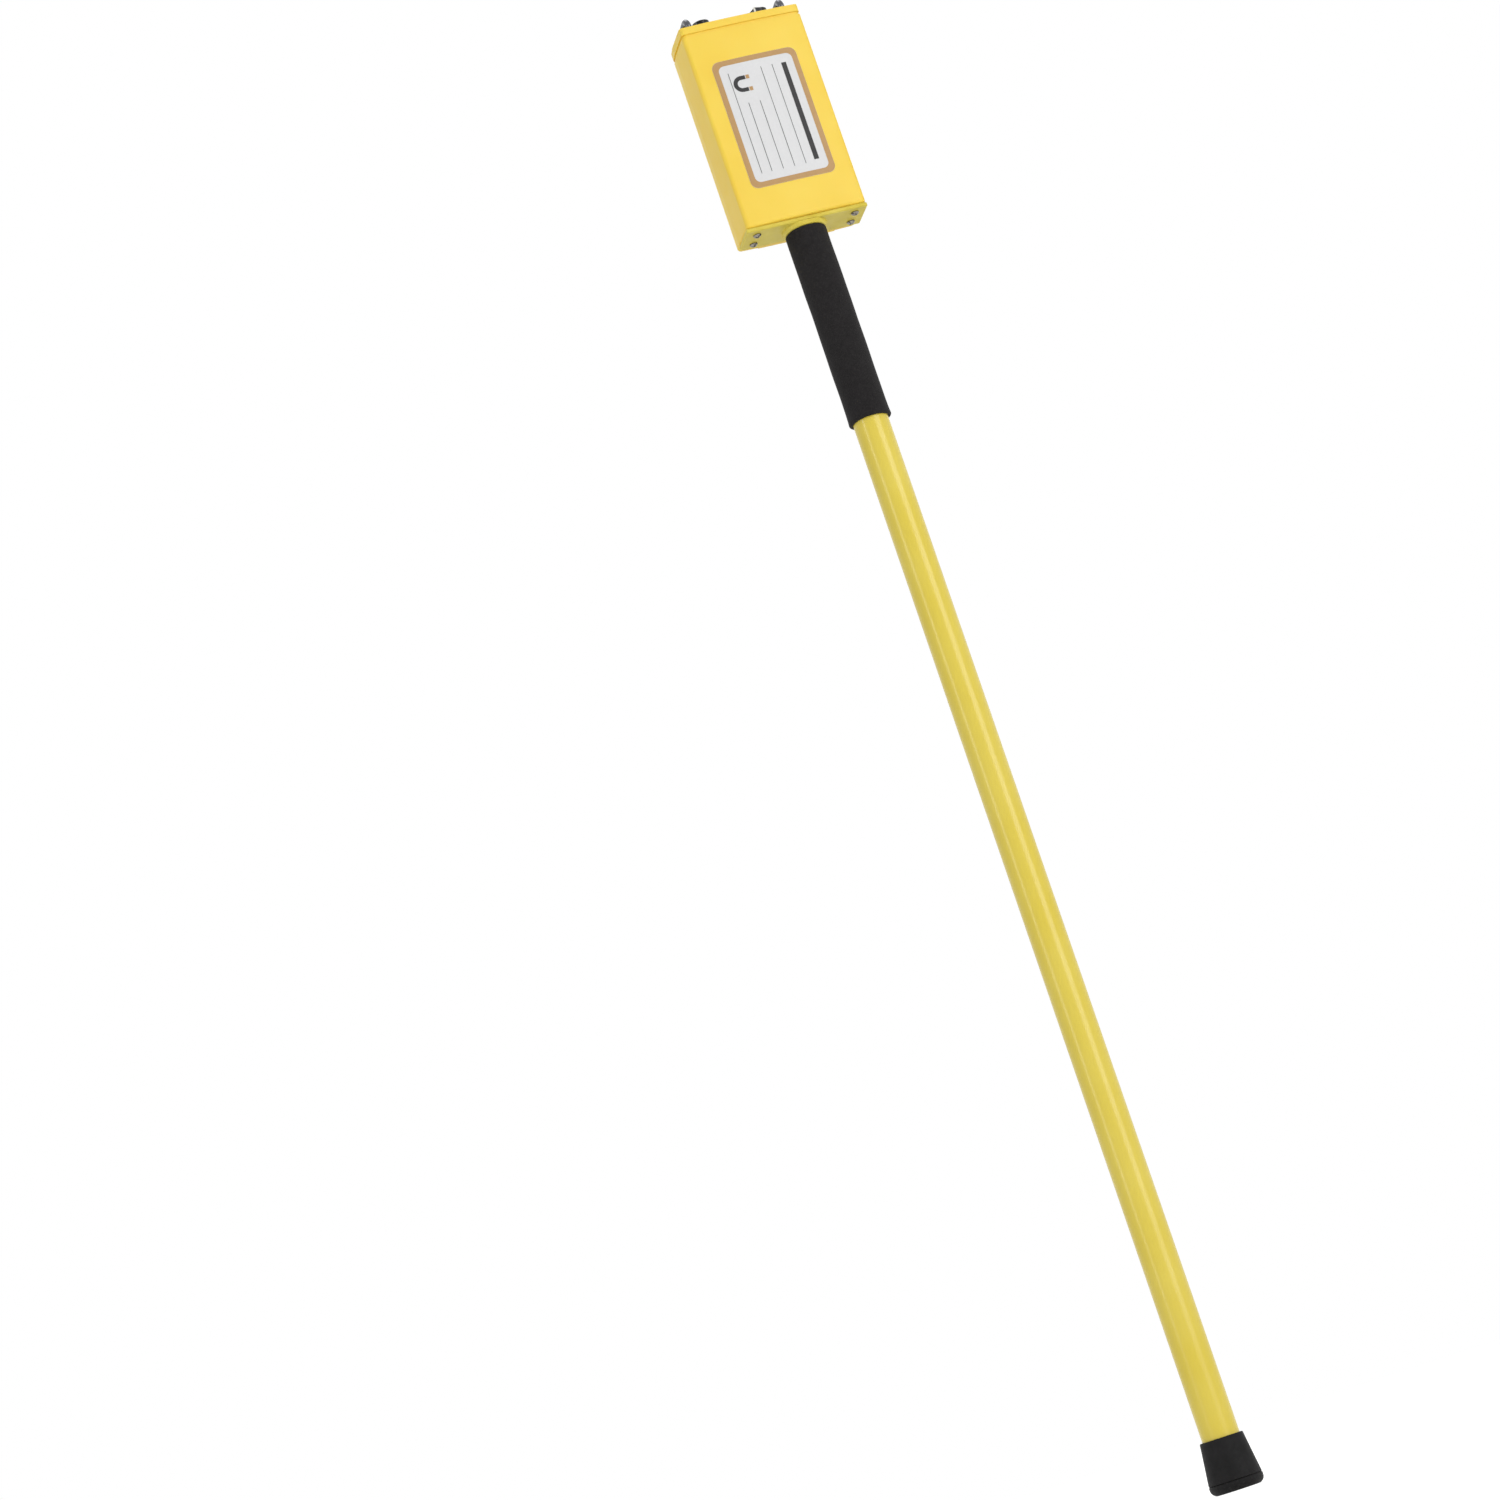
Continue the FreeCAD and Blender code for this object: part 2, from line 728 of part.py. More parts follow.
def rounded_block(name, half_x, half_y, corner, height, x="", y="", z="", upright=False):
    """A rounded rectangle raised along Z, or laid upright and raised towards -Y."""
    sketch = profile(doc.addObject("Sketcher::SketchObject", name + "Outline"),
                     rectangle_corners(half_x, half_y, corner))
    place(sketch, x, y, z, TO_FRONT if upright else None)
    return extrude(name, sketch, height, FRONTWARD if upright else UP)


# Head as one moulding, before it is parted into two shells
head_main = head_prism("HeadMain", "head_base base_edge", "head_height -base_edge", "", OUTER)
head_foot = loft("HeadFoot", [
    outline("FootLow", "head_base", "base_edge", *OUTER),
    outline("FootTurn", "head_base base_turn", "base_turn", *OUTER),
    outline("FootHigh", "head_base base_edge", "", *OUTER),
])
head_outer = fuse("HeadOuter", [head_main, head_foot])
cavity = head_prism("Cavity", "head_base floor_thickness",
                    "head_height -floor_thickness -bezel_depth -ledge_thickness", "shell_wall", INNER)
funnel = loft("Funnel", [
    outline("FunnelRim", "head_top", "rim_land", *INNER),
    outline("FunnelKnee", "head_top -bezel_knee", "bezel_knee_inset", *INNER),
    outline("FunnelTurn", "head_top -bezel_turn", "bezel_turn_inset", *INNER),
    outline("FunnelFoot", "ledge_top", "bezel_foot_inset", *INNER),
])
opening = rounded_block("Opening", "opening_half_x", "opening_half_y", "opening_corner",
                        "bezel_depth ledge_thickness", y="control_y", z="ledge_bottom")
groove_outer = head_prism("GrooveOuter", "head_top -groove_drop -groove_width", "groove_width",
                          "-rim_land", OUTER)
groove_inner = head_prism("GrooveInner", "head_top -groove_drop -groove_width", "groove_width",
                          "groove_depth", OUTER)
groove = cut("Groove", groove_outer, [groove_inner])
head = cut("Head", head_outer, [cavity, funnel, opening, groove])

# Parting blocks in front of and behind the parting plane
front_block = block("FrontBlock", ("-shell_width", "front_y -front_depth", "head_base"),
                    ("shell_width", "split_y", "head_top"))
back_block = block("BackBlock", ("-shell_width", "split_y parting_gap", "head_base"),
                   ("shell_width", "back_y back_depth", "head_top"))

# Battery door and the slot that it slides in
door_face = block("DoorFace", ("-door_half_x", "door_back -slide_gap", "head_base"),
                  ("door_half_x", "back_y back_depth", "head_base door_height"))
head_block = head_prism("HeadBlock", "head_base", "head_height", "", OUTER)
door_skin = common("DoorSkin", head_block, door_face)
door_tongue = block("DoorTongue", ("-door_half_x -door_tongue", "door_inner", "head_base"),
                    ("door_half_x door_tongue", "door_back -slide_gap", "head_base door_height"))
keep(fuse("BatteryDoor", [door_skin, door_tongue]), "battery_door")
slot_top = "head_base door_height slide_gap"
slot_face = block("SlotFace", ("-door_half_x -slide_gap", "door_back -slide_gap", "head_base -rim_land"),
                  ("door_half_x slide_gap", "back_y back_depth", slot_top))
slot_low = ("-door_half_x -door_tongue -slide_gap", "door_inner -slide_gap", "head_base -rim_land")
slot_tongue = block("SlotTongue", slot_low, ("door_half_x door_tongue slide_gap", "door_back", slot_top))

# Front shell: front half, the whole floor, pillars for the plate, bosses for board and screws
front_half = common("FrontHalf", head, front_block)
floor_whole = head_prism("FloorWhole", "head_base", "floor_thickness", "shell_wall parting_gap", INNER)
floor_back_block = block("FloorBackBlock", ("-shell_width", "split_y -parting_gap", "head_base"),
                         ("shell_width", "back_y", "head_top"))
floor_tongue = common("FloorTongue", floor_whole, floor_back_block)
front_pieces = [front_half, floor_tongue]
front_cuts = [slot_tongue, cylinder("FloorBore", "tube_radius seat_gap", "floor_thickness", z="head_base")]
for side_x in ("", "-"):
    for side_y in ("", "-"):
        number = len(front_pieces)
        where = {"x": side_x + "plate_screw_x", "y": side_y + "plate_screw_y"}
        front_pieces.append(cylinder(f"Pillar{number}", "pillar_radius", "floor_thickness pillar_height",
                                     z="head_base", **where))
        front_cuts.append(cylinder(f"PillarBore{number}", "plate_screw_radius seat_gap",
                                   "plate_screw_length", z="head_base", **where))
for side in ("", "-"):
    for level in ("boss_low", "boss_high"):
        number = len(front_pieces)
        front_pieces.append(cylinder(f"Boss{number}", "boss_radius", "front_depth -shell_wall",
                                     side + "boss_x", "split_y", "head_base " + level, TO_FRONT))
        front_cuts.append(cylinder(f"BossBore{number}", "shell_screw_radius seat_gap",
                                   "shell_screw_length", side + "boss_x",
                                   "back_y -counterbore_depth", "head_base " + level, TO_FRONT))
    for level in ("-", ""):
        number = len(front_pieces)
        height = "board_middle " + level + "board_hole_z"
        front_pieces.append(cylinder(f"BoardBoss{number}", "pillar_radius",
                                     "front_offset -board_back -board_thickness -shell_wall",
                                     side + "board_hole_x", "board_front", height, TO_FRONT))
        front_cuts.append(cylinder(f"BoardBossBore{number}", "board_screw_radius seat_gap",
                                   "board_screw_length", side + "board_hole_x",
                                   "-board_back", height, TO_FRONT))


def panel_ribs(name, near, far):
    """Two ribs on the side walls that hold the panel up against the ledge."""
    left = block(name + "Left", ("-half_width shell_wall -crown", near, "panel_bottom -rib_height"),
                 ("-half_width shell_wall rib_reach", far, "panel_bottom"))
    right = block(name + "Right", ("half_width -shell_wall -rib_reach", near, "panel_bottom -rib_height"),
                  ("half_width -shell_wall crown", far, "panel_bottom"))
    return [left, right]


front_pieces += panel_ribs("FrontRib", "split_y -rib_width -rib_width", "split_y -rib_width")
keep(cut("FrontShell", fuse("FrontSolid", front_pieces), front_cuts), "front_shell")

# Back shell: screw columns, speaker ring and holes, and the battery door's slot
back_half = common("BackHalf", head, back_block)
back_floor_outer = head_prism("BackFloorOuter", "head_base", "floor_thickness", "shell_wall", INNER)
back_floor = common("BackFloor", back_floor_outer, back_block)
back_pieces = [cut("BackOpenFloor", back_half, [back_floor])]
back_cuts = [slot_face, slot_tongue]
for side in ("", "-"):
    for level in ("boss_low", "boss_high"):
        number = len(back_pieces)
        where = (side + "boss_x", "split_y parting_gap", "head_base " + level)
        back_pieces.append(cylinder(f"Column{number}", "boss_radius", "back_depth -parting_gap -crown",
                                    *where, TO_BACK))
        back_cuts.append(cylinder(f"ColumnBore{number}", "shell_screw_radius screw_gap", "back_depth",
                                  *where, TO_BACK))
        head_spot = (side + "boss_x", "back_y -counterbore_depth", "head_base " + level)
        back_cuts.append(cylinder(f"Counterbore{number}", "shell_screw_head screw_gap", "counterbore_depth",
                                  *head_spot, TO_BACK))
ring_outer = cylinder("RingOuter", "speaker_radius seat_gap speaker_ring", "speaker_ring_height shell_wall",
                      "", "back_y -shell_wall -speaker_ring_height", "speaker_z", TO_BACK)
ring_inner = cylinder("RingInner", "speaker_radius seat_gap", "speaker_ring_height",
                      "", "back_y -shell_wall -speaker_ring_height", "speaker_z", TO_BACK)
back_pieces.append(common("SpeakerRing", ring_outer, head_block))
back_pieces += panel_ribs("BackRib", "split_y parting_gap", "split_y rib_width")
back_cuts.append(ring_inner)
grille_hole = cylinder("GrilleMiddle", "grille_hole", "shell_wall shell_wall", "",
                       "back_y -shell_wall -shell_wall", "speaker_z", TO_BACK)
back_cuts.append(grille_hole)
for number in range(int(size("grille_count"))):
    angle = f"{number} * 360deg / Sizes.grille_count"
    hole = cylinder(f"GrilleHole{number}", "grille_hole", "shell_wall shell_wall", "",
                    "back_y -shell_wall -shell_wall", "", TO_BACK)
    hole.setExpression("Placement.Base.x", f"Sizes.grille_pitch * cos({angle})")
    hole.setExpression("Placement.Base.z", f"Sizes.speaker_z + Sizes.grille_pitch * sin({angle})")
    back_cuts.append(hole)
keep(cut("BackShell", fuse("BackSolid", back_pieces), back_cuts), "back_shell")

# Four long screws that draw the shells together
shell_screws = []
for side in ("", "-"):
    for level in ("boss_low", "boss_high"):
        number = len(shell_screws) + 1
        shell_screws.append(screw(f"ShellScrew{number}", "shell_screw_radius", "shell_screw_length",
                                  "shell_screw_head", "shell_head_height", side + "boss_x",
                                  "back_y -counterbore_depth", "head_base " + level, TO_BACK))
keep(group("ShellScrews", shell_screws), "shell_screws")

# Printed label on the front face
label_outer = head_prism("LabelOuter", "head_base", "head_height", "-label_thickness -seat_gap", OUTER)
label_inner = head_prism("LabelInner", "head_base", "head_height", "-seat_gap", OUTER)
label_shell = cut("LabelShell", label_outer, [label_inner])
label_block = rounded_block("LabelBlock", "label_width_half", "label_height_half", "label_corner",
                            "front_depth", z="head_base label_middle", upright=True)
keep(common("FrontLabel", label_shell, label_block), "front_label")

# Control panel, a brushed aluminium sheet held under the ledge
knob_holes = [(side + "knob_x", "knob_y", "bushing_radius seat_gap") for side in ("", "-")]
lamp_hole = [("lamp_x", "lamp_y", "lamp_radius seat_gap")]
handle_holes = []
for side in ("", "-"):
    for leg in ("", "-"):
        handle_holes.append((side + "handle_x", f"handle_y {leg}leg_spacing_half",
                             "handle_screw_radius seat_gap"))
panel = new_body("ControlPanel")
panel_box = [
    ("-panel_half_x", "control_y -panel_half_y"),
    ("panel_half_x", "control_y -panel_half_y"),
    ("panel_half_x", "control_y panel_half_y"),
    ("-panel_half_x", "control_y panel_half_y"),
]
pad(panel, profile(new_sketch(panel, "PanelOutline", "XY_Plane"), panel_box), "panel_thickness -seat_gap")
doc.recompute()
panel_holes = knob_holes + lamp_hole + handle_holes
pocket_through(panel, circles(new_sketch(panel, "PanelHoles", "XY_Plane"), panel_holes))
place(panel, z="panel_bottom")
keep(panel, "control_panel")

# Printed overlay that shows in the opening
overlay = new_body("PanelOverlay")
overlay_low = "control_y -opening_half_y slide_gap"
overlay_high = "control_y opening_half_y -slide_gap"
overlay_box = [
    ("-overlay_half_x", overlay_low),
    ("overlay_half_x", overlay_low),
    ("overlay_half_x", overlay_high),
    ("-overlay_half_x", overlay_high),
]
pad(overlay, profile(new_sketch(overlay, "OverlayOutline", "XY_Plane"), overlay_box), "overlay_thickness")
doc.recompute()
pocket_through(overlay, circles(new_sketch(overlay, "OverlayHoles", "XY_Plane"), knob_holes + lamp_hole))
place(overlay, z="panel_top")
keep(overlay, "panel_overlay")

# Guard handles, chromed rods bent to a U in short steps and screwed on from below
BEND_STEPS = 5


def rod_ring(name, x, y, z, degrees):
    """A circle of the rod, tilted about X by an angle; y and z are expressions."""
    ring = doc.addObject("Part::Circle", name)
    bind(ring, Radius="rod_radius")
    ring.Placement = FreeCAD.Placement(V(0, 0, 0), FreeCAD.Rotation(V(1, 0, 0), -degrees))
    place(ring, x)
    ring.setExpression("Placement.Base.y", y)
    ring.setExpression("Placement.Base.z", z)
    return ring


handle_screws = []
for side, word in (("-", "left"), ("", "right")):
    x = side + "handle_x"
    title = word.title()
    bend_height = total("panel_top handle_height -rod_radius -handle_bend")[1]
    front_leg = total("handle_y -leg_spacing_half")[1]
    back_leg = total("handle_y leg_spacing_half")[1]
    rings = [rod_ring(title + "FootFront", x, front_leg, "Sizes.panel_top", 0)]
    for leg, sign in (("-", "-"), ("", "+")):
        bend_middle = f"Sizes.handle_y {sign} (Sizes.leg_spacing_half - Sizes.handle_bend)"
        for step in range(BEND_STEPS + 1):
            degrees = 90 * step / BEND_STEPS + (0 if leg else 90)
            y = f"{bend_middle} - Sizes.handle_bend * cos({degrees}deg)"
            z = f"{bend_height} + Sizes.handle_bend * sin({degrees}deg)"
            rings.append(rod_ring(f"{title}Ring{len(rings)}", x, y, z, degrees))
    rings.append(rod_ring(title + "FootBack", x, back_leg, "Sizes.panel_top", 180))
    bores = []
    for leg in ("-", ""):
        spot = (x, f"handle_y {leg}leg_spacing_half")
        name = f"{title}Leg{len(bores)}"
        bores.append(cylinder(name + "Bore", "handle_screw_radius seat_gap", "handle_screw_length",
                              *spot, "panel_top"))
        handle_screws.append(screw(name + "Screw", "handle_screw_radius", "handle_screw_length",
                                   "handle_screw_head", "handle_screw_head",
                                   *spot, "panel_bottom", UPSIDE_DOWN))
    keep(cut(title + "Handle", loft(title + "Rod", rings), bores), f"handle_{word}")
keep(group("HandleScrews", handle_screws), "handle_screws")


def knob(name, label, side, angle):
    """A fluted knob with a wedge pointer, its cap, shaft and grub screw, set at a rest angle."""
    body = revolve(name, [
        ("shaft_radius seat_gap", "knob_recess"),
        ("knob_recess_radius", "knob_recess"),
        ("knob_recess_radius", ""),
        ("knob_radius", ""),
        ("knob_radius", "knob_height"),
        ("cap_radius seat_gap", "knob_height"),
        ("cap_radius seat_gap", "knob_height -cap_seat"),
        ("", "knob_height -cap_seat"),
        ("", "knob_height -shaft_top_wall"),
        ("shaft_radius seat_gap", "knob_height -shaft_top_wall"),
    ])
    doc.recompute()
    # one V groove, repeated round the knob
    flute = new_sketch(body, name + "Flute", "XY_Plane")
    profile(flute, [
        ("knob_radius -flute_depth", ""),
        ("knob_radius flute_depth", "flute_width"),
        ("knob_radius flute_depth", "-flute_width"),
    ])
    groove_feature = body.newObject("PartDesign::Pocket", name + "Groove")
    groove_feature.Profile = flute
    groove_feature.Type = "ThroughAll"
    groove_feature.Reversed = True
    doc.recompute()
    ring = body.newObject("PartDesign::PolarPattern", name + "Flutes")
    ring.Originals = [groove_feature]
    ring.Axis = (flute, ["N_Axis"])
    ring.Angle = 360
    ring.setExpression("Occurrences", "Sizes.flute_count")
    body.Tip = ring
    doc.recompute()
    # wedge pointer over the whole height, hollow below like the rest of the knob
    wedge = new_sketch(body, name + "Wedge", "XY_Plane")
    profile(wedge, [
        ("knob_recess_radius", "-pointer_root"),
        ("pointer_radius -pointer_tip", "-pointer_tip"),
        ("pointer_radius", "-pointer_flat"),
        ("pointer_radius", "pointer_flat"),
        ("pointer_radius -pointer_tip", "pointer_tip"),
        ("knob_recess_radius", "pointer_root"),
    ])
    pad(body, wedge, "knob_height")
    doc.recompute()
    body.Placement = FreeCAD.Placement(V(0, 0, 0), turned(size(angle)))
    place(body, side + "knob_x", "knob_y", "knob_base")
    # grub screw hole from the side away from the pointer
    spot = (side + "knob_x", "knob_y", "knob_base set_screw_height")
    away = turned(size(angle) + 180).multiply(TO_RIGHT)
    hole = cylinder(name + "GrubHole", "set_screw_radius seat_gap", "knob_radius knob_radius", *spot, away)
    keep(cut(name + "Drilled", body, [hole]), label + "_knob")
    cap = revolve(name + "Cap", [
        ("", ""),
        ("cap_radius", ""),
        ("cap_radius", "cap_thickness -flute_depth"),
        ("cap_radius -flute_depth", "cap_thickness"),
        ("", "cap_thickness"),
    ])
    place(cap, side + "knob_x", "knob_y", "knob_base knob_height -cap_seat")
    keep(cap, label + "_knob_cap")
    shaft = cylinder(name + "Shaft", "shaft_radius", "shaft_length",
                     side + "knob_x", "knob_y", "panel_bottom")
    keep(shaft, label + "_shaft")
    # grub screw, pressed on the shaft
    grub = cylinder(name + "Grub", "set_screw_radius", "set_screw_length", *spot, away)
    step = away.multVec(V(0, 0, 1))
    grub.setExpression("Placement.Base.x", f"{total(spot[0])[1]} + {step.x} * Sizes.shaft_radius")
    grub.setExpression("Placement.Base.y", f"{total(spot[1])[1]} + {step.y} * Sizes.shaft_radius")
    shaft_keepout = cylinder(name + "GrubKeepout", "shaft_radius seat_gap", "knob_height",
                             side + "knob_x", "knob_y", "knob_base")
    keep(cut(name + "GrubScrew", grub, [shaft_keepout]), label + "_set_screw")


knob("SensitivityKnob", "sensitivity", "", "sensitivity_angle")
knob("VolumeKnob", "volume", "-", "volume_angle")


def control(name, label, part, side, radius, height):
    """A panel control: a round case under the panel and a threaded bushing through it."""
    body = revolve(name, [
        ("", ""),
        (radius, ""),
        (radius, height),
        ("bushing_radius", height),
        ("bushing_radius", f"{height} panel_thickness overlay_thickness bushing_rise"),
        ("bushing_bore", f"{height} panel_thickness overlay_thickness bushing_rise"),
        ("bushing_bore", height + " -seat_gap"),
        ("", height + " -seat_gap"),
    ])
    place(body, side + "knob_x", "knob_y", f"panel_bottom -{height}")
    keep(body, f"{label}_{part}")
    nut = doc.addObject("Part::Prism", name + "Hex")
    nut.Polygon = 6
    nut.setExpression("Circumradius", "Sizes.nut_half / cos(30deg)")
    bind(nut, Height="nut_height")
    place(nut, side + "knob_x", "knob_y", "nut_base")
    bore = cylinder(name + "NutBore", "bushing_radius seat_gap", "nut_height",
                    side + "knob_x", "knob_y", "nut_base")
    keep(cut(name + "Nut", nut, [bore]), label + "_nut")
    disc = cylinder(name + "Disc", "washer_radius", "washer_thickness",
                    side + "knob_x", "knob_y", "overlay_top")
    disc_bore = cylinder(name + "DiscBore", "bushing_radius seat_gap", "washer_thickness",
                         side + "knob_x", "knob_y", "overlay_top")
    keep(cut(name + "Washer", disc, [disc_bore]), label + "_washer")


control("RotarySwitch", "sensitivity", "switch", "", "switch_radius", "switch_height")
control("VolumeControl", "volume", "control", "-", "control_radius", "control_height")

# Lamp with a domed clear body, and the ring that holds it under the panel
lamp = revolve("LedLamp", [
    ("", "-retainer_height"),
    ("lamp_flange", "-retainer_height"),
    ("lamp_flange", ""),
    ("lamp_radius", ""),
    ("lamp_radius", "panel_thickness lamp_rise -lamp_radius"),
    *round_edge("lamp_radius", "", "panel_thickness lamp_rise -lamp_radius", "", "", False),
    ("", "panel_thickness lamp_rise"),
])
place(lamp, "lamp_x", "lamp_y", "panel_bottom")
keep(lamp, "led_lamp")
retainer = revolve("LedRetainer", [
    ("lamp_flange seat_gap", ""),
    ("retainer_radius", ""),
    ("retainer_radius", "retainer_height"),
    ("lamp_flange seat_gap", "retainer_height"),
])
place(retainer, "lamp_x", "lamp_y", "panel_bottom -retainer_height")
keep(retainer, "led_retainer")

# Circuit board on the four bosses behind the front wall
board = new_body("CircuitBoard")
board_box = [
    ("-board_half_x", "-board_height_half"),
    ("board_half_x", "-board_height_half"),
    ("board_half_x", "board_height_half"),
    ("-board_half_x", "board_height_half"),
]
board_spots = []
for side in ("", "-"):
    for level in ("", "-"):
        board_spots.append((side + "board_hole_x", level + "board_hole_z"))
pad(board, profile(new_sketch(board, "BoardOutline", "XY_Plane"), board_box), "board_thickness")
doc.recompute()
board_holes = [(x, y, "board_screw_radius seat_gap") for x, y in board_spots]
pocket_through(board, circles(new_sketch(board, "BoardHoles", "XY_Plane"), board_holes))
place(board, "", "-board_back", "board_middle", TO_FRONT)
keep(board, "circuit_board")
board_screws = []
for x, z in board_spots:
    board_screws.append(screw(f"BoardScrew{len(board_screws)}", "board_screw_radius", "board_screw_length",
                              "board_screw_head", "board_screw_head", x, "-board_back",
                              "board_middle " + z, TO_BACK))
keep(group("BoardScrews", board_screws), "board_screws")

# Connector on the board's back, where the sensor lead comes up from the tube
connector = block("LeadConnector",
                  ("-connector_width_half", "-board_back", "head_base board_base"),
                  ("connector_width_half", "lead_radius", "head_base board_base connector_height"))
keep(connector, "lead_connector")
lead = cylinder("SensorLead", "lead_radius", "lead_length", z="carrier_top")
keep(lead, "sensor_lead")

# Two batteries side by side behind the door, and their snap connectors
for side, word in (("-", "left"), ("", "right")):
    near = side + "battery_gap"
    far = f"{side}battery_gap {side}battery_width"
    low_x, high_x = (far, near) if side else (near, far)
    bottom = "head_base floor_thickness slide_gap"
    case = block(f"Battery{word.title()}", (low_x, "battery_front", bottom),
                 (high_x, "battery_front battery_depth", bottom + " battery_height"))
    keep(case, f"battery_{word}")
snaps = []
for side in ("-", ""):
    near = side + "battery_gap"
    far = f"{side}battery_gap {side}battery_width"
    low_x, high_x = (far, near) if side else (near, far)
    bottom = "head_base floor_thickness slide_gap battery_height"
    snaps.append(block(f"Snap{len(snaps)}", (low_x, "battery_front battery_edge", bottom),
                       (high_x, "battery_front battery_depth -battery_edge", bottom + " snap_height")))
keep(group("BatterySnaps", snaps), "battery_snaps")

# Speaker in its ring behind the holes of the back shell
speaker = revolve("Speaker", [
    ("", ""),
    ("speaker_magnet", ""),
    ("speaker_magnet", "speaker_depth_half"),
    ("speaker_radius", "speaker_depth -battery_edge"),
    ("speaker_radius", "speaker_depth"),
    ("", "speaker_depth"),
])
place(speaker, "", "back_y -shell_wall -speaker_depth", "speaker_z", TO_BACK)
keep(speaker, "speaker")

# Plug, sensor carrier, sensors and spacers in the tube
plug = cylinder("TubePlug", "tube_bore -seat_gap", "plug_length", z="tip_floor")
keep(plug, "tube_plug")
carrier_rod = cylinder("CarrierRod", "carrier_radius", "carrier_length", z="tip_floor plug_length")
carrier_slot = block("CarrierSlot", ("-sensor_radius", "-sensor_radius", "tip_floor plug_length"),
                     ("sensor_radius", "carrier_radius", "carrier_top"))
keep(cut("SensorCarrier", carrier_rod, [carrier_slot]), "sensor_carrier")
keep(cylinder("LowerSensor", "sensor_radius -seat_gap", "sensor_length", z="sensor_base"), "lower_sensor")
keep(cylinder("UpperSensor", "sensor_radius -seat_gap", "sensor_length", z="sensor_base sensor_spacing"),
     "upper_sensor")
spacers = []
below_lower = "sensor_base -spacer_length -spacer_length"
below_upper = "sensor_base sensor_spacing -spacer_length -spacer_length"
for level in (below_lower, below_upper, "carrier_top -spacer_length"):
    number = len(spacers)
    disc = cylinder(f"SpacerDisc{number}", "tube_bore -seat_gap", "spacer_length", z=level)
    bore = cylinder(f"SpacerBore{number}", "carrier_radius seat_gap", "spacer_length", z=level)
    spacers.append(cut(f"Spacer{number}", disc, [bore]))
keep(group("CarrierSpacers", spacers), "carrier_spacers")

doc.recompute()
broken = [thing.Name for thing in doc.Objects if set(thing.State) & {"Invalid", "Error"}]
if broken:
    raise ValueError(f"objects not made: {broken}")
os.makedirs("parts", exist_ok=True)
for part in parts:
    if part.Shape.isNull() or not part.Shape.isValid():
        raise ValueError(f"{part.Label} has no valid shape")
for part in parts:
    part.Shape.exportStep(f"parts/{part.Label}.step")
    print(part.Label, len(part.Shape.Solids), round(part.Shape.Volume, 1))
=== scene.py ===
import math

import bmesh
import bpy
import numpy as np
from mathutils import Matrix, Vector


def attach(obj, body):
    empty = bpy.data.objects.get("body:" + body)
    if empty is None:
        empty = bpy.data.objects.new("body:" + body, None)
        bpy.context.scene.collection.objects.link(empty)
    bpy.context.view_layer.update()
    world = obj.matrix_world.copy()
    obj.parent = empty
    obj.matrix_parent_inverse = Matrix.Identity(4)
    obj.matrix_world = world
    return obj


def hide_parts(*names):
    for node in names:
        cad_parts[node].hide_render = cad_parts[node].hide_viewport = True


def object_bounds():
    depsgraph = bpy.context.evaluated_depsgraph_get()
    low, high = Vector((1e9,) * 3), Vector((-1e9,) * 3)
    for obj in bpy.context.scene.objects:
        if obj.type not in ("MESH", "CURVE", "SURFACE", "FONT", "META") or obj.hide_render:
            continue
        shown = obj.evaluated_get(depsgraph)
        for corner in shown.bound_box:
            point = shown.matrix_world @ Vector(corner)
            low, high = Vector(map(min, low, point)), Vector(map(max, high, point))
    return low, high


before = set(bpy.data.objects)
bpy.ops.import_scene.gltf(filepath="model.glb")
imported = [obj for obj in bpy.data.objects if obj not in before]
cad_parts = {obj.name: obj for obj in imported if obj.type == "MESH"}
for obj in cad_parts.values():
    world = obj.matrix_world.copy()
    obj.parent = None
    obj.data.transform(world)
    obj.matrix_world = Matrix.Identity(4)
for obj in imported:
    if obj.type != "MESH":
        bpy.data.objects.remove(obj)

# A hand-held magnetic locator, put together from the tip up. Millimetres turned to metres at the
# mesh, in the frame of the model: origin at the middle of the tip's bottom face, +Z up the tube,
# the labelled face at -Y, and +X to the right of someone who looks at that face.
cad_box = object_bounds()

# Rubber tip. A blunt cone moulded in black nitrile rubber and pushed on the tube's end. It has a
# rounded tread edge, a line where the two mould plates met, and a thin lip that hugs the tube.


def surface(name, grids, body, crease=40.0, close_rows=False, close_columns=True):
    """A mesh laid over grids of points, each rows x columns x 3, in millimetres.

    Each face joins a point to its neighbours in the next row and column. Closed directions run
    round to their start. Equal points become one, so that poles and seams are shut. The outside
    is where (next column) x (next row) points. The mesh is made in metres and rides on a body."""
    points, faces, start = [], [], 0
    for grid in grids:
        rows, columns = grid.shape[:2]
        number = start + np.arange(rows * columns).reshape(rows, columns)
        if close_rows:
            number = np.vstack([number, number[:1]])
        if close_columns:
            number = np.hstack([number, number[:, :1]])
        corner = number[:-1, :-1], number[:-1, 1:], number[1:, 1:], number[1:, :-1]
        faces.append(np.stack([part.ravel() for part in corner], axis=1))
        points.append(grid.reshape(-1, 3) / 1000)
        start += rows * columns
    mesh = bpy.data.meshes.new(name)
    mesh.from_pydata(np.vstack(points).tolist(), [], np.vstack(faces).tolist())
    shell = bmesh.new()
    shell.from_mesh(mesh)
    bmesh.ops.remove_doubles(shell, verts=shell.verts, dist=1e-7)
    shell.to_mesh(mesh)
    shell.free()
    mesh.polygons.foreach_set("use_smooth", np.ones(len(mesh.polygons), bool))
    mesh.set_sharp_from_angle(angle=math.radians(crease))
    piece = bpy.data.objects.new(name, mesh)
    bpy.context.scene.collection.objects.link(piece)
    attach(piece, body)
    return piece


